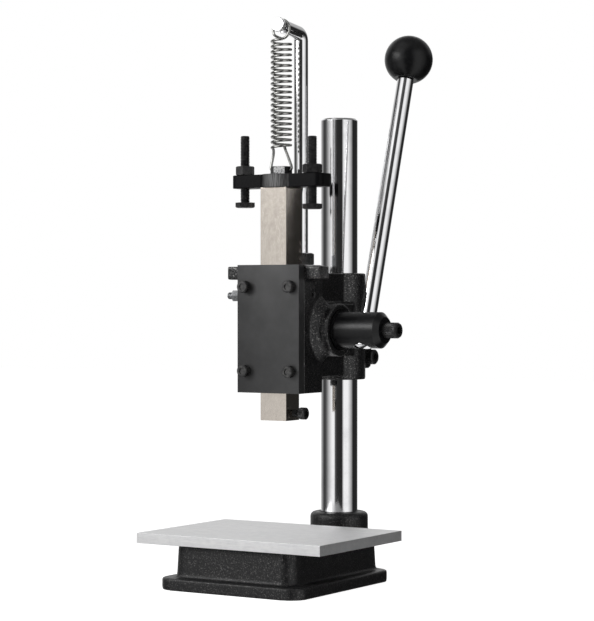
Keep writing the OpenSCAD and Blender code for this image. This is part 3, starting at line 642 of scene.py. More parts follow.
@dataclass
class Form:
    """A mesh on its way to a finished piece."""

    mesh: bpy.types.Mesh
    merge_gap: ClassVar[float] = 0.002 * MM
    flat_angle: ClassVar[float] = math.radians(0.3)
    sharp_angle: ClassVar[float] = math.radians(28)
    bulge_span: ClassVar[Span] = (0.03, 0.15)
    round_profile: ClassVar[float] = 0.5

    @classmethod
    def of_node(cls, node: str) -> "Form":
        """A merged copy of a CAD node.

        Args:
            node: The node's name.

        Returns:
            The copy.
        """
        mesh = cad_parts[node].data.copy()
        with editing(mesh) as work:
            bmesh.ops.remove_doubles(work, verts=work.verts, dist=cls.merge_gap)
        return cls(mesh)

    @classmethod
    def turned(cls, profile: Sequence[tuple[float, float]], sides: int = 96) -> "Form":
        """A solid of revolution about +Z.

        Args:
            profile: Radius and height of each corner, from one end to the other.
            sides: Number of faces round the axis.

        Returns:
            The turned form.
        """
        mesh = bpy.data.meshes.new("turned")
        with editing(mesh) as work:
            rings = []
            for radius, height in profile:
                count = sides if radius > 0 else 1
                angles = [2 * math.pi * i / sides for i in range(count)]
                rings.append([work.verts.new((radius * math.cos(a), radius * math.sin(a), height))
                              for a in angles])
            for lower, upper in zip(rings, rings[1:]):
                for i in range(sides):
                    j = (i + 1) % sides
                    corners = [lower[i % len(lower)], lower[j % len(lower)],
                               upper[j % len(upper)], upper[i % len(upper)]]
                    distinct = list(dict.fromkeys(corners))
                    if len(distinct) > 2:
                        work.faces.new(distinct)
            bmesh.ops.recalc_face_normals(work, faces=work.faces)
        return cls(mesh)

    @classmethod
    def joined(cls, *forms: "Form") -> "Form":
        """Several forms as one mesh.

        Args:
            forms: The forms, which are used up.

        Returns:
            The joined form.
        """
        mesh = bpy.data.meshes.new("joined")
        with editing(mesh) as work:
            for form in forms:
                work.from_mesh(form.mesh)
                bpy.data.meshes.remove(form.mesh)
        return cls(mesh)

    def moved(self, placing: Matrix) -> "Form":
        """Places the mesh."""
        self.mesh.transform(placing)
        return self

    def drilled(self, drill: "Form") -> "Form":
        """Cuts a form out of this one.

        Args:
            drill: The form to cut out, which is used up.

        Returns:
            The drilled form.
        """
        tool = shown("drill", drill.mesh)
        helper = shown("blank", self.mesh)
        helper.modifiers.new("hole", "BOOLEAN").object = tool
        self.mesh = settled(helper)
        bpy.data.objects.remove(tool)
        bpy.data.meshes.remove(drill.mesh)
        return self

    def cast(self, voxel: float, rounds: int) -> "Form":
        """Rounds edges and fills corners the way a sand mould does, and notes where edges stand out.

        Args:
            voxel: Size of the mesh's faces.
            rounds: How often the edges are eased.

        Returns:
            The cast form.
        """
        helper = shown("mould", self.mesh)
        skin = helper.modifiers.new("skin", "REMESH")
        skin.mode = "VOXEL"
        skin.voxel_size = voxel
        helper.modifiers.new("ease", "SMOOTH").iterations = rounds
        self.mesh = settled(helper)
        self.note_edges(voxel)
        return self

    def note_edges(self, voxel: float) -> None:
        """Writes to the mesh how sharply it bulges at each point.

        Args:
            voxel: Size of the mesh's faces.
        """
        count = len(self.mesh.vertices)
        spots = np.empty(count * 3)
        self.mesh.vertices.foreach_get("co", spots)
        spots = spots.reshape(-1, 3)
        normals = np.array([n.vector for n in self.mesh.vertex_normals])
        ends = np.empty(len(self.mesh.edges) * 2, int)
        self.mesh.edges.foreach_get("vertices", ends)
        first, second = ends.reshape(-1, 2).T
        total = np.zeros((count, 3))
        np.add.at(total, first, spots[second])
        np.add.at(total, second, spots[first])
        degree = np.bincount(ends, minlength=count)[:, None]
        bulge = -np.sum((total / degree - spots) * normals, axis=1) / voxel
        level = np.interp(bulge, self.bulge_span, (0, 1))
        layer = self.mesh.attributes.new(WEAR, "FLOAT", "POINT")
        layer.data.foreach_set("value", level.astype(np.float32))

    def eased(self, width: float, steps: int = 2) -> "Form":
        """Breaks the sharp edges and notes the new faces.

        Args:
            width: Width of the broken edge.
            steps: Faces across it.

        Returns:
            The eased form.
        """
        with editing(self.mesh) as work:
            layer = work.faces.layers.float.new(WEAR)
            bmesh.ops.dissolve_limit(work, angle_limit=self.flat_angle, verts=work.verts, edges=work.edges)
            sharp = [e for e in work.edges if e.is_manifold and e.calc_face_angle(0.0) > self.sharp_angle]
            made = bmesh.ops.bevel(work, geom=sharp, offset=width, offset_type="OFFSET", segments=steps,
                                   profile=self.round_profile, affect="EDGES", clamp_overlap=True)
            for face in made["faces"]:
                face[layer] = 1.0
        return self

    def rubbed(self, spot: Vector, reach: float) -> "Form":
        """Notes only the faces round a spot as worn, less and less outwards.

        Args:
            spot: The most worn spot.
            reach: Distance from it where the wear ends.

        Returns:
            The worn form.
        """
        with editing(self.mesh) as work:
            layer = work.faces.layers.float.get(WEAR) or work.faces.layers.float.new(WEAR)
            for face in work.faces:
                face[layer] = max(0.0, 1 - (face.calc_center_bounds() - spot).length / reach)
        return self

    def smooth(self, corner: float = CUT_CORNER) -> "Form":
        """Shades the mesh smooth and keeps large faces flat.

        Args:
            corner: Angle from which an edge stays sharp.

        Returns:
            The shaded form.
        """
        self.mesh.shade_smooth()
        self.mesh.set_sharp_from_angle(angle=corner)
        helper = shown("shading", self.mesh)
        helper.modifiers.new("weigh", "WEIGHTED_NORMAL").keep_sharp = True
        self.mesh = settled(helper)
        return self


class Tree(Graph):
    """A Geometry Nodes tree with named sizes that turns places or a path into a plain mesh."""

    label: ClassVar[str]
    sizes: ClassVar[dict[str, float]]

    def __init__(self) -> None:
        """Builds the tree once."""
        super().__init__(bpy.data.node_groups.new(self.label, "GeometryNodeTree"))
        outside = self.tree.interface
        outside.new_socket("Places", in_out="INPUT", socket_type="NodeSocketGeometry")
        self.keys: dict[str, str] = {}
        for name, size in self.sizes.items():
            socket = outside.new_socket(name, in_out="INPUT", socket_type="NodeSocketFloat")
            socket.default_value = size
            self.keys[name] = socket.identifier
        finish = outside.new_socket("Finish", in_out="INPUT", socket_type="NodeSocketMaterial")
        self.keys["Finish"] = finish.identifier
        outside.new_socket("Mesh", in_out="OUTPUT", socket_type="NodeSocketGeometry")
        self.given = self.node("NodeGroupInput")
        whole = self.node("GeometryNodeRealizeInstances", {}, {0: self.spread()})
        dressed = self.node("GeometryNodeSetMaterial", {}, {
            "Geometry": whole, "Material": self.size("Finish")})
        self.node("NodeGroupOutput", {}, {0: dressed})

    def size(self, name: str) -> Wire:
        """One of the tree's inputs."""
        return self.given.at(name)

    def shape(self) -> Wire:
        """One copy of the shape, standing on the XY plane."""
        raise NotImplementedError

    def spread(self) -> Wire:
        """A copy of the shape on every place."""
        return self.node("GeometryNodeInstanceOnPoints", {}, {
            "Points": self.size("Places"), "Instance": self.shape()})

    def spots(self) -> tuple[Wire, Wire, Wire]:
        """Where the points of a shape are."""
        return self.parts(self.node("GeometryNodeInputPosition"))

    def rod(self, sides: Any, radius: Any, length: Any, rings: Any = 1) -> Wire:
        """A cylinder about +Z, half of it below the XY plane."""
        return self.node("GeometryNodeMeshCylinder", {}, {
            "Vertices": sides, "Side Segments": rings, "Radius": radius, "Depth": length})

    def raised(self, shape: Wire, height: Any, turn: float = 0.0) -> Wire:
        """A shape lifted by a height and turned about +Z."""
        return self.node("GeometryNodeTransform", {}, {
            "Geometry": shape, "Translation": self.point(0.0, 0.0, height), "Rotation": (0.0, 0.0, turn)})

    def narrowed(self, shape: Wire, cut: Wire, radius: Wire, level: Wire) -> Wire:
        """A round shape turned down.

        Args:
            shape: The shape.
            cut: How much is taken off its radius at each point.
            radius: Its radius.
            level: Height that each point moves to.

        Returns:
            The turned shape.
        """
        x, y, _ = self.spots()
        scale = 1 - cut / radius
        return self.node("GeometryNodeSetPosition", {}, {
            "Geometry": shape, "Position": self.point(x * scale, y * scale, level)})

    def carved(self, operation: str, first: Wire, second: Wire) -> Wire:
        """Two shapes cut from, or cut to, each other."""
        inputs = {1: [first, second]} if operation == "INTERSECT" else {0: first, 1: [second]}
        return self.node("GeometryNodeMeshBoolean", {"operation": operation, "solver": "EXACT"}, inputs)

    def make(self, places: Iterable[Vector], finish: bpy.types.Material, sizes: Mapping[str, float],
             radii: Sequence[float] = ()) -> Form:
        """Runs the tree.

        Args:
            places: Where the copies stand, or the points of a path.
            finish: Material of the mesh.
            sizes: Sizes by the names of the tree's inputs.
            radii: For a path, its radius at each point.

        Returns:
            The plain mesh.
        """
        spots = [tuple(place) for place in places]
        links = [(i, i + 1) for i in range(len(spots) - 1)] if radii else []
        mesh = bpy.data.meshes.new(self.label)
        mesh.from_pydata(spots, links, [])
        if radii:
            layer = mesh.attributes.new(THICKNESS, "FLOAT", "POINT")
            layer.data.foreach_set("value", list(radii))
        helper = bpy.data.objects.new(self.label, mesh)
        modifier = helper.modifiers.new(self.label, "NODES")
        modifier.node_group = self.tree
        for name, size in sizes.items():
            modifier[self.keys[name]] = float(size)
        modifier[self.keys["Finish"]] = finish
        bpy.context.scene.collection.objects.link(helper)
        return Form(settled(helper))


class SocketScrewTree(Tree):
    """Cap screws with a knurled head and a hexagon socket."""

    label = "socket_screws"
    sizes = {"Head Diameter": 13 * MM, "Head Height": 8 * MM, "Key Size": 6 * MM, "Socket Share": 0.45,
             "Knurls": 28.0, "Knurl Depth": 0.5 * MM, "Chamfer": 0.8 * MM, "Shank Diameter": 8 * MM,
             "Shank Length": 20 * MM}
    knurl_faces: ClassVar[int] = 4
    knurl_band: ClassVar[Span] = (0.08, 0.78)
    head_rings: ClassVar[int] = 10
    rim: ClassVar[float] = 0.03
    foot_chamfer: ClassVar[float] = 0.4
    shank_sides: ClassVar[int] = 32

    def shape(self) -> Wire:
        """One screw, with its seat on the XY plane.

        Returns:
            The screw.
        """
        height = self.size("Head Height")
        radius = self.size("Head Diameter") / 2
        knurls = self.size("Knurls")
        chamfer = self.size("Chamfer")
        x, y, z = self.spots()
        share = z / height + 0.5
        ridge = (self.math("ARCTAN2", y, x) * knurls).math("COSINE") * 0.5 + 0.5
        band_foot, band_top = self.knurl_band
        grooves = (share > band_foot) * (share < band_top) * (1 - ridge) * self.size("Knurl Depth")
        rims = (share > 1 - self.rim) * chamfer + (share < self.rim) * chamfer * self.foot_chamfer
        head = self.rod(knurls * self.knurl_faces, radius, height, self.head_rings)
        head = self.narrowed(head, grooves + rims, radius, z + height / 2)
        socket = self.rod(HEX_SIDES, self.size("Key Size") / math.sqrt(3), height)
        socket = self.raised(socket, height * (1.5 - self.size("Socket Share")))
        head = self.carved("DIFFERENCE", head, socket)
        length = self.size("Shank Length")
        shank = self.rod(self.shank_sides, self.size("Shank Diameter") / 2, length)
        shank = self.raised(shank, length * -0.5)
        return self.node("GeometryNodeJoinGeometry", {}, {0: [head, shank]})


class HexTree(Tree):
    """Hexagon nuts and bolt heads with turned chamfers."""

    label = "hexagons"
    sizes = {"Key Size": 13 * MM, "Height": 6.5 * MM, "Bore": 8 * MM, "Lower Chamfer": 1.0}
    turned_sides: ClassVar[int] = 96
    turned_rings: ClassVar[int] = 4
    bore_sides: ClassVar[int] = 48
    oversize: ClassVar[Span] = (1.03, 1.001)
    inner_ring: ClassVar[Span] = (0.1, 0.4)
    end_cut: ClassVar[float] = 0.18
    slope: ClassVar[float] = 0.11
    least_bore: ClassVar[float] = 0.01 * MM

    def shape(self) -> Wire:
        """One nut or head on the XY plane, with flats across X.

        Returns:
            The nut or head.
        """
        height = self.size("Height")
        corner = self.size("Key Size") / math.sqrt(3)
        wider, taller = self.oversize
        prism = self.rod(HEX_SIDES, corner, height)
        prism = self.raised(prism, height / 2, math.radians(HEX_HALF))
        turned = self.rod(self.turned_sides, corner * wider, height * taller, self.turned_rings)
        z = self.spots()[2]
        share = z / height
        inner, outer = self.inner_ring
        ends = (share > outer) + (share < -outer) * self.size("Lower Chamfer")
        near_top = (share > inner) * (share < outer)
        near_bottom = (share < -inner) * (share > -outer)
        shift = height / 4 - corner * self.slope
        level = z + near_top * shift - near_bottom * shift + height / 2
        turned = self.narrowed(turned, ends * self.end_cut * corner, corner, level)
        body = self.carved("INTERSECT", prism, turned)
        bore = self.size("Bore")
        drill = self.rod(self.bore_sides, bore / 2 + self.least_bore, height * 2)
        drilled = self.carved("DIFFERENCE", body, self.raised(drill, height / 2))
        return self.node("GeometryNodeSwitch", {"input_type": "GEOMETRY"}, {
            "Switch": bore > self.least_bore, "False": body, "True": drilled})


class ThreadTree(Tree):
    """Threaded rods with a real screw line."""

    label = "threads"
    sizes = {"Diameter": 8 * MM, "Depth": 0.7 * MM, "Pitch": 1.25 * MM, "Length": 56 * MM, "Chamfer": MM}
    rod_sides: ClassVar[int] = 36
    turn_rings: ClassVar[int] = 8

    def shape(self) -> Wire:
        """One rod that rises from the XY plane.

        Returns:
            The rod.
        """
        length = self.size("Length")
        pitch = self.size("Pitch")
        radius = self.size("Diameter") / 2
        chamfer = self.size("Chamfer")
        x, y, z = self.spots()
        turn = self.math("ARCTAN2", y, x) / (2 * math.pi)
        groove = abs((z / pitch - turn).math("FRACT") * 2 - 1)
        end = (length / 2 - abs(z)) / chamfer
        tip = (1 - end.math("MINIMUM", 1.0)) * chamfer
        cut = (groove * self.size("Depth")).math("MAXIMUM", tip)
        rod = self.rod(self.rod_sides, radius, length, length / pitch * self.turn_rings)
        return self.narrowed(rod, cut, radius, z + length / 2)


class SweepTree(Tree):
    """Round bar or wire that follows a path."""

    label = "bars"
    sizes = {"Sides": 24.0}

    def spread(self) -> Wire:
        """The bar along the path, as thick as the path says.

        Returns:
            The bar.
        """
        path = self.node("GeometryNodeMeshToCurve", {}, {"Mesh": self.size("Places")})
        ring = self.node("GeometryNodeCurvePrimitiveCircle", {}, {
            "Resolution": self.size("Sides"), "Radius": 1.0})
        radius = self.node("GeometryNodeInputNamedAttribute", {"data_type": "FLOAT"}, {"Name": THICKNESS})
        return self.node("GeometryNodeCurveToMesh", {}, {
            "Curve": path, "Profile Curve": ring, "Scale": radius, "Fill Caps": True})


@dataclass(frozen=True)
class Thread:
    """Sizes of a screw thread."""

    d: float
    pitch: float


@dataclass(frozen=True)
class SocketScrew:
    """Sizes of a socket screw."""

    thread: Thread
    head_d: float
    head_h: float
    key: float
    knurls: int
    socket: float = 0.45

    def sizes(self, length: float) -> dict[str, float]:
        """The sizes by the names of the tree's inputs, for a shank of a length."""
        return {"Head Diameter": self.head_d, "Head Height": self.head_h, "Key Size": self.key,
                "Shank Diameter": self.thread.d, "Knurls": self.knurls, "Socket Share": self.socket,
                "Shank Length": length}


M6 = Thread(6 * MM, 1.0 * MM)
M8 = Thread(8 * MM, 1.25 * MM)
M10 = Thread(10 * MM, 1.5 * MM)
LARGE_SCREW = SocketScrew(M8, 13 * MM, 8 * MM, 6 * MM, 26)
SMALL_SCREW = SocketScrew(M6, 10 * MM, 6 * MM, 5 * MM, 22)
COVER_SCREW = replace(SMALL_SCREW, socket=0.15)
HUB_SCREW = replace(LARGE_SCREW, head_h=13 * MM)
# The two corners of a broken edge are rounded by this share of its width.
EDGE_ROUND = 0.3


class Workshop:
    """Holds the finishes and the trees, and turns forms into pieces of the press."""

    thread_depth: ClassVar[float] = 0.55
    thread_chamfer: ClassVar[float] = 0.8

    def __init__(self) -> None:
        """Makes the materials and the trees."""
        self.finishes = {slot: finish.material(slot.value) for slot, finish in FINISHES.items()}
        self.socket_screws = SocketScrewTree()
        self.hexagons = HexTree()
        self.threads = ThreadTree()
        self.bars = SweepTree()

    def add(self, name: str, form: Form, slot: Slot, body: Body | None, *nodes: str,
            finish: bpy.types.Material | None = None) -> bpy.types.Object:
        """Finishes a piece.

        Args:
            name: The piece's name.
            form: Its shape.
            slot: Its material slot.
            body: The body that it rides on, or None for a piece that bends between two.
            nodes: The CAD nodes that it stands for.
            finish: A finish of its own instead of its slot's.

        Returns:
            The piece.
        """
        form.mesh.materials.clear()
        form.mesh.materials.append(finish or self.finishes[slot])
        form.mesh.name = name
        piece = shown(name, form.mesh)
        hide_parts(*nodes)
        if body:
            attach(piece, body.value)
        LOG.info("%s: %d faces, stands for %s", name, len(form.mesh.polygons), ", ".join(nodes))
        return piece

    def keep(self, node: str, slot: Slot) -> None:
        """Dresses a CAD node that stays as it is.

        Args:
            node: The node's name.
            slot: Its material slot.
        """
        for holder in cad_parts[node].material_slots:
            holder.material = self.finishes[slot]
        LOG.info("%s: kept, in %s", node, slot.value)

    def milled(self, name: str, node: str, slot: Slot, body: Body, edge: float, steps: int = 2) -> None:
        """Adds a copy of a CAD node whose edges are broken in some steps."""
        self.add(name, Form.of_node(node).eased(edge, steps).smooth(), slot, body, node)

    def stood(self, tree: Tree, places: Sequence[Vector], placing: Matrix,
              sizes: Mapping[str, float]) -> Form:
        """Copies of a tree's shape that stand on places.

        Args:
            tree: The tree.
            places: Where they stand.
            placing: The turn that takes +Z to where they point.
            sizes: Sizes by the names of the tree's inputs.

        Returns:
            All of them as one form.
        """
        local = [placing.inverted() @ place for place in places]
        return tree.make(local, self.finishes[Slot.SCREW], sizes).moved(placing).smooth()

    def socket_set(self, places: Sequence[Vector], axis: Vector, screw: SocketScrew, length: float) -> Form:
        """Socket screws with heads that stand on places along axis, and shanks of a length."""
        return self.stood(self.socket_screws, places, facing(axis), screw.sizes(length))

    def hexagon_set(self, places: Sequence[Vector], axis: Vector, key: float, height: float,
                    bore: float = 0.0, turn: float = 0.0) -> Form:
        """Hexagon nuts, or bolt heads where bore is 0, that stand on places along axis.

        Args:
            places: Where they stand.
            axis: Where they point.
            key: Width across their flats.
            height: Their height.
            bore: Diameter of a nut's hole.
            turn: Turn about their own axis, in degrees.

        Returns:
            All of them as one form.
        """
        placing = facing(axis) @ Matrix.Rotation(math.radians(turn), 4, "Z")
        sizes = {"Key Size": key, "Height": height, "Bore": bore, "Lower Chamfer": 1.0 if bore else 0.0}
        return self.stood(self.hexagons, places, placing, sizes)

    def rod(self, thread: Thread, start: Vector, axis: Vector, length: float) -> Form:
        """A threaded rod.

        Args:
            thread: Its thread.
            start: Where it starts.
            axis: Where it points.
            length: Its length.

        Returns:
            The rod.
        """
        sizes = {"Diameter": thread.d, "Depth": self.thread_depth * thread.pitch, "Pitch": thread.pitch,
                 "Length": length, "Chamfer": self.thread_chamfer * thread.pitch}
        form = self.threads.make([Vector()], self.finishes[Slot.SCREW], sizes)
        return form.moved(facing(axis, start)).smooth(THREAD_CORNER)


def middle(node: str) -> Vector:
    """The middle of a CAD node's box."""
    low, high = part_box(node)
    return (low + high) / 2


def at_x(point: Vector, x: float) -> Vector:
    """A point moved along X to a place."""
    return Vector((x, point.y, point.z))


def at_z(point: Vector, z: float) -> Vector:
    """A point moved up or down to a height."""
    return Vector((point.x, point.y, z))


def inset_corners(node: str, inset: float, across: int, up: int, level: float) -> list[Vector]:
    """Places near the corners of a CAD node's box, where its screws or nuts stand.

    Args:
        node: The node.
        inset: Distance of the places from the box's sides.
        across: Number of the first axis in their plane.
        up: Number of the second axis in their plane.
        level: Where the plane lies on the third axis.

    Returns:
        The places, without repeats where the box is only as wide as one screw.
    """
    low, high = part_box(node)
    places = []
    for a in sorted({round(low[across] + inset, 6), round(high[across] - inset, 6)}):
        for b in sorted({round(low[up] + inset, 6), round(high[up] - inset, 6)}):
            place = Vector((level, level, level))
            place[across], place[up] = a, b
            places.append(place)
    return places


@dataclass
class Base:
    """The cast base with its collar, the work plate and the column."""

    shop: Workshop
    voxel: float = 1.15 * MM
    rounds: int = 9
    plate_edge: float = 0.5 * MM
    column_chamfer: float = 1.5 * MM
    column_edge: float = 0.35 * MM
    column_sides: int = 128
    drill_r: float = 2.2 * MM
    drill_end_r: float = 0.77 * MM
    drill_depth: float = 3.3 * MM

    def build(self) -> None:
        """Builds and dresses every piece of the stand."""
        shop = self.shop
        casting = Form.of_node("base_casting").cast(self.voxel, self.rounds)
        shop.add("cast_base", casting.smooth(CAST_CORNER), Slot.CASTING, Body.STAND, "base_casting",
                 finish=BASE_FINISH.material("base_paint"))
        shop.milled("milled_plate", "work_plate", Slot.PLATE, Body.STAND, self.plate_edge)
        low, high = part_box("plate_screws")
        head_z = low.z + SMALL_SCREW.head_h
        seats = inset_corners("plate_screws", SMALL_SCREW.head_d / 2, 0, 1, head_z)
        screws = shop.socket_set(seats, -UP, SMALL_SCREW, high.z - head_z)
        shop.add("plate_screw_set", screws, Slot.SCREW, Body.STAND, "plate_screws")
        shop.add("chrome_column", self.column(), Slot.CHROME, Body.STAND, "column")
        shop.keep("collar_set_screw", Slot.SCREW)

    def column(self) -> Form:
        """The column, chamfered and centre-drilled at its top.

        Returns:
            The turned form.
        """
        low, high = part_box("column")
        radius = (high.x - low.x) / 2
        height = high.z - low.z
        chamfer, edge = self.column_chamfer, self.column_edge
        nick = EDGE_ROUND * edge
        profile = [(0, 0), (radius - edge, 0), (radius, edge), (radius, height - chamfer - edge),
                   (radius - nick, height - chamfer), (radius - chamfer + nick, height - nick),
                   (radius - chamfer - edge, height), (self.drill_r, height),
                   (self.drill_end_r, height - self.drill_r), (0, height - self.drill_depth)]
        foot = at_z(middle("column"), low.z)
        return Form.turned(profile, self.column_sides).moved(Matrix.Translation(foot)).smooth()


@dataclass
class Head:
    """The cast head with its cover, its screws and the gib."""

    shop: Workshop
    voxel: float = 1.0 * MM
    rounds: int = 5
    cover_edge: float = 0.7 * MM
    edge_steps: int = 3
    bolt_neck: float = 10 * MM
    neck_lap: float = 5 * MM
    nut_key: float = 14 * MM
    gib_key: float = 9 * MM
    gib_socket: float = 3 * MM

    def build(self) -> None:
        """Builds and dresses every piece of the head but the spring and its post."""
        shop = self.shop
        casting = Form.of_node("head_casting").cast(self.voxel, self.rounds)
        shop.add("cast_head", casting.smooth(CAST_CORNER), Slot.CASTING, Body.HEAD, "head_casting")
        shop.milled("cover_plate", "front_cover", Slot.COVER, Body.HEAD, self.cover_edge, self.edge_steps)
        low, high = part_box("cover_screws")
        head_y = low.y + COVER_SCREW.head_h
        seats = inset_corners("cover_screws", COVER_SCREW.head_d / 2, 0, 2, head_y)
        screws = shop.socket_set(seats, FRONT, COVER_SCREW, high.y - head_y)
        shop.add("cover_screw_set", screws, Slot.SCREW, Body.HEAD, "cover_screws",
                 finish=PALE_SCREW_FINISH.material("cover_screw"))
        self.clamp()
        self.gib()

    def clamp(self) -> None:
        """The two bolts that close the slit round the column, and their nuts."""
        shop = self.shop
        low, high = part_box("clamp_bolts")
        head_x = high.x - LARGE_SCREW.head_h
        seats = inset_corners("clamp_bolts", LARGE_SCREW.head_d / 2, 1, 2, head_x)
        bolts = [shop.socket_set(seats, RIGHT, LARGE_SCREW, self.bolt_neck)]
        bolts += [shop.rod(M8, at_x(seat, low.x), RIGHT, head_x - low.x - self.neck_lap) for seat in seats]
        shop.add("clamp_bolt_pair", Form.joined(*bolts), Slot.SCREW, Body.HEAD, "clamp_bolts")
        low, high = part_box("clamp_nuts")
        nut_seats = [at_x(seat, high.x) for seat in seats]
        nuts = shop.hexagon_set(nut_seats, -RIGHT, self.nut_key, high.x - low.x, M8.d)
        shop.add("clamp_nut_pair", nuts, Slot.SCREW, Body.HEAD, "clamp_nuts")

    def gib(self) -> None:
        """The gib strip, its adjusting screw with a lock nut, and the side screw."""
        shop = self.shop
        low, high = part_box("gib_screw")
        axis = middle("gib_screw")
        rod = shop.rod(M6, at_x(axis, high.x), -RIGHT, high.x - low.x)
        key_hole = shop.hexagon_set([at_x(axis, low.x + self.gib_socket)], -RIGHT, self.gib_socket,
                                    2 * self.gib_socket)
        adjuster = rod.drilled(key_hole).smooth(THREAD_CORNER)
        shop.add("gib_adjuster", adjuster, Slot.ZINC, Body.HEAD, "gib_screw")
        low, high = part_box("gib_lock_nut")
        nut = shop.hexagon_set([at_x(axis, high.x)], -RIGHT, self.gib_key, high.x - low.x, M6.d)
        shop.add("gib_nut", nut, Slot.ZINC, Body.HEAD, "gib_lock_nut")
        shop.keep("gib_strip", Slot.BRASS)
        shop.keep("side_set_screw", Slot.SCREW)


@dataclass
class SpringPost:
    """The bent post that holds the spring, with its lock nut."""

    shop: Workshop
    diameter: float = 12 * MM
    sides: int = 64
    bend: float = 7 * MM
    bend_steps: int = 24
    tilt: float = math.radians(7)
    nose: float = 6 * MM
    chamfer: float = 0.7 * MM
    groove_d: float = 7.6 * MM
    groove_w: float = 3.2 * MM
    groove_edge: float = 0.3 * MM
    groove_slant: float = 0.02 * MM
    nut_key: float = 19 * MM

    def build(self) -> None:
        """Builds and dresses the post and its nut."""
        shop = self.shop
        points, radii = self.path()
        post = shop.bars.make(points, shop.finishes[Slot.CHROME], {"Sides": self.sides}, radii)
        shop.add("chrome_post", post.smooth(), Slot.CHROME, Body.HEAD, "spring_post")
        low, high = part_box("post_lock_nut")
        seat = at_z(middle("post_lock_nut"), low.z)
        nut = shop.hexagon_set([seat], UP, self.nut_key, high.z - low.z, self.diameter)
        shop.add("post_nut", nut, Slot.SCREW, Body.HEAD, "post_lock_nut",
                 finish=FINISHES[Slot.ZINC].material("post_nut_steel"))

    def arm_z(self) -> float:
        """Height of the arm's middle line over the ram's axis."""
        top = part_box("spring_post")[1].z
        return top - self.nose * math.sin(self.tilt) - self.diameter / 2 * math.cos(self.tilt)

    def path(self) -> tuple[list[Vector], list[float]]:
        """The post's middle line from its foot to its nose, with its radius at each point.

        Returns:
            The points and the radii.
        """
        low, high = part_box("spring_post")
        radius = self.diameter / 2
        post_y = high.y - radius
        points = [Vector((0, post_y, low.z)), Vector((0, post_y, low.z + self.chamfer))]
        radii = [radius - self.chamfer, radius]
        root_y = post_y - self.bend * (1 - math.sin(self.tilt))
        straight_top = self.arm_z() - root_y * math.tan(self.tilt) - self.bend * math.cos(self.tilt)
        for step in range(self.bend_steps + 1):
            angle = (math.pi / 2 - self.tilt) * step / self.bend_steps
            out = self.bend * Vector((0, math.cos(angle), math.sin(angle)))
            points.append(Vector((0, post_y - self.bend, straight_top)) + out)
            radii.append(radius)
        slope = Vector((0, math.cos(self.tilt), -math.sin(self.tilt)))
        for way, r in self.arm():
            points.append(Vector((0, 0, self.arm_z())) + way * slope)
            radii.append(r)
        return points, radii

    def arm(self) -> list[tuple[float, float]]:
        """The arm with the groove for the spring.

        Returns:
            Places along the arm, from the ram's axis, and the radius at each.
        """
        radius, groove = self.diameter / 2, self.groove_d / 2
        half, edge = self.groove_w / 2, self.groove_edge
        centre = -groove * math.tan(self.tilt)
        side = [(half + edge, radius), (half, radius - edge), (half - self.groove_slant, groove)]
        arm = [(centre + way, r) for way, r in side]
        arm += [(centre - way, r) for way, r in reversed(side)]
        return arm + [(self.chamfer - self.nose, radius), (-self.nose, radius - self.chamfer)]


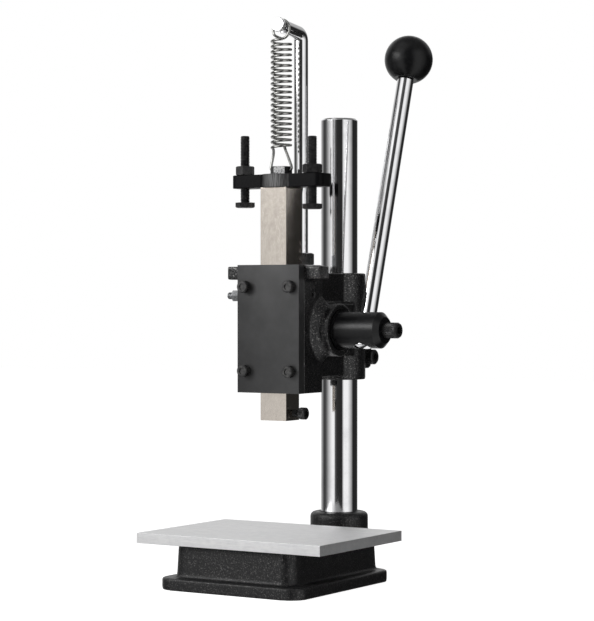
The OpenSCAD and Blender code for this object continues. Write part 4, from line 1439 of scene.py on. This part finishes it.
@dataclass
class RamSet:
    """The ram with its rack, the yoke and what is fastened to them."""

    shop: Workshop
    ram_edge: float = 0.45 * MM
    yoke_edge: float = 0.9 * MM
    yoke_edge_steps: int = 3
    highlight_x: float = 5 * MM
    highlight_reach: float = 17 * MM
    bolt_key: float = 16 * MM
    bolt_h: float = 6.6 * MM
    bolt_turn: float = -11.0
    bolt_highlight_reach: float = 7 * MM
    hole_d: float = 3.2 * MM
    hole_sides: int = 32
    nut_key: float = 14 * MM
    left_nut_turn: float = 20.0
    stop_key: float = 14 * MM
    stop_head_h: float = 4.4 * MM
    stop_turn: float = 30.0
    tool_neck: float = 1.0 * MM

    def build(self) -> None:
        """Builds and dresses the ram's pieces."""
        shop = self.shop
        shop.milled("rack_ram", "ram", Slot.RAM, Body.RAM, self.ram_edge)
        low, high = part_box("stop_yoke")
        # A pale spot on the yoke's front: a painted highlight on its bulge.
        rub = Vector((self.highlight_x, low.y, (low.z + high.z) / 2))
        yoke = Form.of_node("stop_yoke").eased(self.yoke_edge, self.yoke_edge_steps)
        yoke.rubbed(rub, self.highlight_reach)
        shop.add("yoke_bar", yoke.smooth(), Slot.CASTING, Body.RAM, "stop_yoke",
                 finish=YOKE_PAINT_AND_HIGHLIGHT.material("yoke_paint_and_highlight"))
        shop.add("yoke_cap_bolt", self.yoke_bolt(), Slot.ZINC, Body.RAM, "yoke_bolt",
                 finish=BOLT_STEEL_AND_HIGHLIGHT.material("yoke_bolt_steel_and_highlight"))
        self.stop("left", Body.LEFT_STOP, self.left_nut_turn)
        self.stop("right", Body.RIGHT_STOP, 0.0)
        self.tool_screw()

    def hole_z(self) -> float:
        """Height of the hole for the spring in the yoke bolt's head."""
        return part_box("yoke_bolt")[1].z - self.bolt_h / 2

    def yoke_bolt(self) -> Form:
        """The hexagon bolt that clamps the yoke, cross-drilled for the spring.

        Returns:
            The bolt, with its front flat rubbed.
        """
        low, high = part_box("yoke_bolt")
        seat = at_z(middle("yoke_bolt"), high.z - self.bolt_h)
        hole = at_z(seat, self.hole_z())
        head = self.shop.hexagon_set([seat], UP, self.bolt_key, self.bolt_h, turn=self.bolt_turn)
        radius, reach = self.hole_d / 2, self.bolt_key
        drill = Form.turned([(0, -reach), (radius, -reach), (radius, reach), (0, reach)], self.hole_sides)
        head.drilled(drill.moved(facing(RIGHT, hole)))
        # The front flat is marked rubbed; its pale colour there is a painted highlight.
        front_flat = Matrix.Rotation(math.radians(HEX_HALF + self.bolt_turn), 3, "Z") @ FRONT
        head.rubbed(hole + front_flat * self.bolt_key / 2, self.bolt_highlight_reach)
        shank = self.shop.rod(M10, at_z(seat, low.z), UP, seat.z - low.z)
        return Form.joined(head.smooth(), shank)

    def stop(self, side: str, body: Body, nut_turn: float) -> None:
        """One stop bolt with its lock nut.

        Args:
            side: The side that it is on, as the nodes' names say it.
            body: The body of the bolt.
            nut_turn: Turn of the nut, in degrees.
        """
        shop = self.shop
        low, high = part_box(f"{side}_stop_nut")
        axis = middle(f"{side}_stop_nut")
        nut = shop.hexagon_set([at_z(axis, low.z)], UP, self.nut_key, high.z - low.z, M8.d, nut_turn)
        shop.add(f"{side}_lock_nut", nut, Slot.SCREW, Body.RAM, f"{side}_stop_nut")
        low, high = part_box(f"{side}_stop_bolt")
        seat = at_z(axis, low.z + self.stop_head_h)
        head = shop.hexagon_set([seat], -UP, self.stop_key, self.stop_head_h, turn=self.stop_turn)
        bolt = Form.joined(head, shop.rod(M8, seat, UP, high.z - seat.z))
        shop.add(f"{side}_stop_screw", bolt, Slot.SCREW, body, f"{side}_stop_bolt")

    def tool_screw(self) -> None:
        """The screw that clamps the tool in the ram's bore."""
        low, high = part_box("tool_clamp_screw")
        seat = at_x(middle("tool_clamp_screw"), high.x - SMALL_SCREW.head_h)
        head = self.shop.socket_set([seat], RIGHT, SMALL_SCREW, self.tool_neck)
        screw = Form.joined(head, self.shop.rod(M6, at_x(seat, low.x), RIGHT, seat.x - low.x))
        self.shop.add("tool_screw_knob", screw, Slot.SCREW, Body.TOOL_SCREW, "tool_clamp_screw")


def bezier(start: Vector, first: Vector, second: Vector, end: Vector, steps: int) -> list[Vector]:
    """Points of a cubic curve, without its two ends.

    Args:
        start: Where the curve starts.
        first: Its first handle.
        second: Its second handle.
        end: Where it ends.
        steps: Number of stretches.

    Returns:
        The points between.
    """
    shares = [i / steps for i in range(1, steps)]
    return [(1 - t) ** 3 * start + 3 * (1 - t) ** 2 * t * first + 3 * (1 - t) * t * t * second + t ** 3 * end
            for t in shares]


def arc(centre: Vector, radius: float, start: float, end: float, steps: int) -> list[Vector]:
    """Points of an arc in the XZ plane, from one angle to another, in degrees.

    Args:
        centre: Middle of the arc.
        radius: Its radius.
        start: Angle where it starts.
        end: Angle where it ends.
        steps: Number of stretches.

    Returns:
        The points, with both ends.
    """
    angles = [math.radians(start + (end - start) * i / steps) for i in range(steps + 1)]
    return [centre + radius * Vector((math.cos(a), 0, math.sin(a))) for a in angles]


@dataclass
class ReturnSpring:
    """The wire spring between the post's groove and the yoke bolt."""

    shop: Workshop
    post: SpringPost
    ram: RamSet
    wire_d: float = 2.3 * MM
    wire_sides: int = 12
    coil_d: float = 15.8 * MM
    coil_steps: int = 28
    turns: int = 21
    leg: float = 18.5 * MM
    leg_gap: float = 0.8 * MM
    leg_steps: int = 12
    tip_rise: float = 2 * MM
    tip_pull: float = 0.7
    tip_steps: int = 10
    bend_steps: int = 8
    last_angle: float = -60.0
    neck_pull: float = 0.55
    neck_steps: int = 12
    loop_start: float = 200.0
    loop_end: float = -75.0
    loop_steps: int = 44

    def build(self) -> None:
        """Builds the spring and lets it stretch between the head and the ram."""
        coil_low, coil_high = self.coil_ends()
        points = self.path()
        form = self.shop.bars.make(points, self.shop.finishes[Slot.SPRING], {"Sides": self.wire_sides},
                                   [self.wire_d / 2] * len(points))
        spring = self.shop.add("wire_spring", form.smooth(), Slot.SPRING, None, "return_spring")
        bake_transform(spring)

    def loop_z(self) -> float:
        """Height of the middle of the loop over the post."""
        return self.post.arm_z() + self.post.groove_d / 2 + self.wire_d / 2 - self.coil_d / 2

    def coil_ends(self) -> tuple[float, float]:
        """Heights of the first and the last coil."""
        return self.ram.hole_z() + self.leg, self.loop_z() - self.coil_d / 2 - self.wire_d / 2

    def path(self) -> list[Vector]:
        """The wire's middle line, from the free tip through the bolt and the coils to the loop.

        Returns:
            The points.
        """
        radius = self.coil_d / 2
        points = self.legs()
        coil = self.coil()
        lift, sink = Vector((0, radius / 8, self.leg / 3)), Vector((0, radius / 4, -self.leg / 4))
        points += bezier(points[-1], points[-1] + lift, coil[0] + sink, coil[0], self.leg_steps) + coil
        loop = arc(Vector((0, 0, self.loop_z())), radius, self.loop_start, self.loop_end, self.loop_steps)
        way = (points[-1] - points[-2]).normalized()
        points += bezier(points[-1], points[-1] + self.neck_pull * radius * way, loop[0] - UP * radius / 2,
                         loop[0], self.neck_steps)
        return points + loop

    def legs(self) -> list[Vector]:
        """The wire's lower end: its free tip, the right leg and the stretch through the bolt.

        Returns:
            The points, up to the foot of the left leg.
        """
        hole_z = self.ram.hole_z()
        bend = self.wire_d
        rise_z = hole_z + bend
        flat = self.ram.bolt_key / 2 / math.cos(math.radians(self.ram.bolt_turn))
        leg_x = flat + self.wire_d / 2 + self.leg_gap
        tip = Vector((self.coil_d / 6, 0, self.coil_ends()[0] + self.tip_rise))
        leg_top = Vector((leg_x, 0, hole_z + self.ram.bolt_h / 2))
        leg_foot = Vector((leg_x, 0, rise_z))
        points = [tip, *bezier(tip, tip.lerp(leg_top, self.tip_pull), leg_top, leg_foot, self.tip_steps)]
        points += arc(Vector((leg_x - bend, 0, rise_z)), bend, 0, -90, self.bend_steps)
        return points + arc(Vector((bend - leg_x, 0, rise_z)), bend, -90, -180, self.bend_steps)

    def coil(self) -> list[Vector]:
        """The turns of the coil, from its left side up.

        Returns:
            The points.
        """
        radius = self.coil_d / 2
        low, high = self.coil_ends()
        sweep = self.turns * 360 + self.last_angle - 180
        steps = round(sweep / 360 * self.coil_steps)
        points = []
        for step in range(steps + 1):
            share = step / steps
            angle = math.radians(180 + sweep * share)
            level = low + (high - low) * share
            points.append(Vector((radius * math.cos(angle), radius * math.sin(angle), level)))
        return points


@dataclass
class LeverSet:
    """The pinion shaft with its hub, the lever and the ball."""

    shop: Workshop
    shaft_edge: float = 0.35 * MM
    washer_edge: float = 0.4 * MM
    rod_d: float = 14 * MM
    rod_tail: float = 14.2 * MM
    rod_edge: float = 0.9 * MM
    tip_d: float = 10 * MM
    tip_len: float = 26 * MM
    ball_face_d: float = 19.5 * MM
    ball_edge: float = 0.6 * MM
    ball_steps: int = 48

    def build(self) -> None:
        """Builds and dresses the lever's pieces."""
        shop = self.shop
        shop.milled("lever_hub", "pinion_shaft", Slot.SHAFT, Body.LEVER, self.shaft_edge)
        low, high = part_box("hub_end_screw")
        axis = middle("hub_end_screw")
        seat = at_x(axis, high.x - HUB_SCREW.head_h)
        screw = shop.socket_set([seat], RIGHT, HUB_SCREW, seat.x - low.x)
        shop.add("hub_screw", screw, Slot.SCREW, Body.LEVER, "hub_end_screw")
        low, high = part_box("shaft_end_screw")
        seat = at_x(axis, low.x + LARGE_SCREW.head_h)
        screw = shop.socket_set([seat], -RIGHT, LARGE_SCREW, high.x - seat.x)
        shop.add("shaft_screw", screw, Slot.SCREW, Body.LEVER, "shaft_end_screw")
        shop.add("shaft_washer", self.washer(), Slot.SCREW, Body.LEVER, "shaft_end_washer")
        self.lever(axis)

    def washer(self) -> Form:
        """The washer that keeps the shaft in the head.

        Returns:
            The turned form.
        """
        low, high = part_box("shaft_end_washer")
        radius, bore = (high.y - low.y) / 2, M8.d / 2
        thick, edge = high.x - low.x, self.washer_edge
        profile = [(bore, 0), (radius - edge, 0), (radius, edge), (radius, thick - edge),
                   (radius - edge, thick), (bore + edge, thick), (bore, thick - edge), (bore, 0)]
        seat = at_x(middle("shaft_end_washer"), high.x)
        return Form.turned(profile).moved(facing(-RIGHT, seat)).smooth()

    def lever(self, pivot: Vector) -> None:
        """The lever rod and its ball, leaning back from the pivot.

        Args:
            pivot: A point on the pinion's axis.
        """
        low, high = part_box("lever_ball")
        radius = (high.x - low.x) / 2
        centre = Vector((middle("lever_ball").x, high.y - radius, high.z - radius))
        foot = at_x(pivot, centre.x)
        placing = facing((centre - foot).normalized(), foot)
        length = (centre - foot).length
        flat = math.sqrt(radius ** 2 - (self.ball_face_d / 2) ** 2)
        shoulder = length - flat
        for name, profile, slot, node in (
                ("chrome_lever", self.rod(shoulder), Slot.CHROME, "lever_rod"),
                ("lever_knob", self.ball(radius, length, flat), Slot.BALL, "lever_ball")):
            self.shop.add(name, Form.turned(profile).moved(placing).smooth(), slot, Body.LEVER, node)

    def rod(self, shoulder: float) -> list[tuple[float, float]]:
        """The lever rod's profile.

        Args:
            shoulder: Height of its shoulder under the ball.

        Returns:
            Radius and height of each corner.
        """
        rod, edge, tip = self.rod_d / 2, self.rod_edge, self.tip_d / 2
        foot, nick = -self.rod_tail, EDGE_ROUND * self.rod_edge
        top = shoulder + self.tip_len
        return [(0, foot), (rod - edge, foot), (rod - nick, foot + nick), (rod, foot + edge),
                (rod, shoulder - edge), (rod - edge, shoulder), (tip, shoulder), (tip, top), (0, top)]

    def ball(self, radius: float, centre: float, flat: float) -> list[tuple[float, float]]:
        """The ball's profile.

        Args:
            radius: Its radius.
            centre: Height of its middle.
            flat: Depth of its flat face under its middle.

        Returns:
            Radius and height of each corner.
        """
        start = math.asin(flat / radius)
        turns = [-start + (math.pi / 2 + start) * i / self.ball_steps for i in range(self.ball_steps)]
        globe = [(radius * math.cos(a), centre + radius * math.sin(a)) for a in turns]
        face = self.ball_face_d / 2 - self.ball_edge
        return [(0, centre - flat), (face, centre - flat), *globe, (0, centre + radius)]


@dataclass(frozen=True)
class SoftBox:
    """A soft box that is aimed at the middle of the press, with its power in watts."""

    name: str
    place: tuple[float, float, float]
    size: tuple[float, float]
    power: float

    def hang(self) -> None:
        """Hangs the box in the scene."""
        light = bpy.data.lights.new(self.name, "AREA")
        light.shape = "RECTANGLE"
        light.size, light.size_y = self.size
        light.energy = self.power
        lamp = shown(self.name, light)
        lamp.location = self.place
        aim = (CAD_BOX[0] + CAD_BOX[1]) / 2 - Vector(self.place)
        lamp.rotation_euler = aim.to_track_quat("-Z", "Y").to_euler()


@dataclass
class Studio:
    """The camera, the pale floor and the soft light round the press."""

    image: tuple[int, int] = (594, 621)
    azimuth: float = 32.14
    distance: float = 1.77793
    camera_z: float = 0.23798
    aside: float = 0.01298
    focal_px: float = 2144.63
    horizon_row: float = 297.03
    sensor: float = 36.0
    floor_size: float = 8.0
    floor_colour: Colour = (0.82, 0.82, 0.82)
    fibre_colour: Colour = (0.7954, 0.7954, 0.7954)
    fibre: float = 4 * MM
    floor_glow: float = 0.95
    overhead: Colour = (0.2, 0.2, 0.2)
    overhead_span: Span = (0.5, 0.75)
    back_glow: float = 0.45
    back_height: Span = (0.15, 0.35)
    back_width: Span = (0.3, 0.6)
    ambient: float = 0.48
    far_fill: float = 0.5
    fill_span: Span = (-0.5, 0.8)
    panels: tuple[Span, ...] = (
        (-180, 1.0), (-160, 1.0), (-142, 0.50), (-124, 0.22), (-111, 0.06), (-98, 0.05), (-84, 0.17),
        (-54, 0.82), (-46, 1.0), (-32, 1.0), (-26, 0.10), (-14, 0.03), (17, 0.02), (28, 1.0),
        (54, 1.0), (86, 0.25), (92, 0.02), (130, 0.02), (142, 0.06), (156, 0.06), (166, 1.0), (180, 1.0))
    lamps: tuple[SoftBox, ...] = (
        SoftBox("overhead_lamp", (-0.25, -0.75, 1.7), (1.3, 1.3), 2.5),
        SoftBox("key_lamp", (-0.90, -1.25, 0.87), (1.0, 0.6), 10.5))

    def build(self) -> None:
        """Sets up the whole studio."""
        bpy.context.scene.view_settings.view_transform = "Standard"
        turn = math.radians(self.azimuth)
        self.towards = Vector((math.sin(turn), -math.cos(turn), 0))
        self.rightwards = Vector((math.cos(turn), math.sin(turn), 0))
        self.camera()
        self.world()
        self.floor()
        for lamp in self.lamps:
            lamp.hang()

    def camera(self) -> None:
        """Places the camera where the photograph was taken from."""
        lens = bpy.data.cameras.new("camera")
        lens.sensor_width = self.sensor
        lens.lens = self.focal_px * self.sensor / max(self.image)
        camera = shown("camera", lens)
        camera.location = self.distance * self.towards + self.aside * self.rightwards + self.camera_z * UP
        drop = math.atan((self.image[1] / 2 - self.horizon_row) / self.focal_px)
        camera.rotation_euler = (math.pi / 2 - drop, 0, math.radians(self.azimuth))
        bpy.context.scene.camera = camera

    def world(self) -> None:
        """White for the camera, and for the metal a studio of pale panels between dark gaps."""
        world = bpy.data.worlds.new("studio")
        world.use_nodes = True
        bpy.context.scene.world = world
        graph = Graph(world.node_tree)
        x, y, z = graph.parts(graph.node("ShaderNodeTexCoord").at("Generated"))
        ahead = x * self.towards.x + y * self.towards.y
        aside = x * self.rightwards.x + y * self.rightwards.y
        share = graph.math("ARCTAN2", aside, ahead) / (2 * math.pi) + 0.5
        stops = [(angle / 360 + 0.5, level) for angle, level in self.panels]
        walls = graph.node("ShaderNodeValToRGB", {"stops": stops}, {"Fac": share})
        behind = z.ramp(self.back_height) * (0 - ahead).ramp(self.back_width)
        walls = graph.mix(behind * self.back_glow, walls, WHITE)
        studio = graph.mix(z.ramp(self.overhead_span), walls, self.overhead)
        rays = graph.node("ShaderNodeLightPath")
        seen = rays.at("Is Camera Ray").math("MAXIMUM", rays.at("Is Transmission Ray"))
        fill = self.ambient * aside.ramp(self.fill_span, 1.0, self.far_fill)
        light = graph.node("ShaderNodeBackground", {}, {
            "Color": graph.mix(seen, studio, WHITE),
            "Strength": 1 - rays.at("Is Diffuse Ray") * (1 - fill)})
        graph.node("ShaderNodeOutputWorld", {}, {"Surface": light})

    def floor(self) -> None:
        """A pale floor that the camera sees as white, with the press's shadow on it.

        Metal sees the studio's panels through it, so that its bands run down to the base.
        """
        mesh = bpy.data.meshes.new("floor")
        with editing(mesh) as work:
            bmesh.ops.create_grid(work, x_segments=1, y_segments=1, size=self.floor_size / 2)
        shader = Shader("floor_paper")
        tint = shader.mix(shader.noise(self.fibre, detail=3.0), self.floor_colour, self.fibre_colour)
        paper = shader.node("ShaderNodeBsdfDiffuse", {}, {"Color": tint})
        rays = shader.node("ShaderNodeLightPath")
        glow = shader.node("ShaderNodeEmission", {}, {
            "Color": WHITE, "Strength": rays.at("Is Camera Ray") * self.floor_glow})
        both = shader.node("ShaderNodeAddShader", {}, {0: paper, 1: glow})
        clear = shader.node("ShaderNodeBsdfTransparent")
        seen = shader.node("ShaderNodeMixShader", {}, {0: rays.at("Is Glossy Ray"), 1: both, 2: clear})
        shader.node("ShaderNodeOutputMaterial", {}, {"Surface": seen})
        mesh.materials.append(shader.material)
        shown("floor", mesh)


def main() -> None:
    """Builds the studio and the press, piece by piece."""
    logging.basicConfig(level=logging.INFO, format="%(name)s: %(message)s")
    Studio().build()
    shop = Workshop()
    post = SpringPost(shop)
    ram = RamSet(shop)
    for part in (Base(shop), Head(shop), post, ReturnSpring(shop, post, ram), ram, LeverSet(shop)):
        LOG.info("building: %s", type(part).__doc__)
        part.build()


if __name__ == "__main__":
    main()
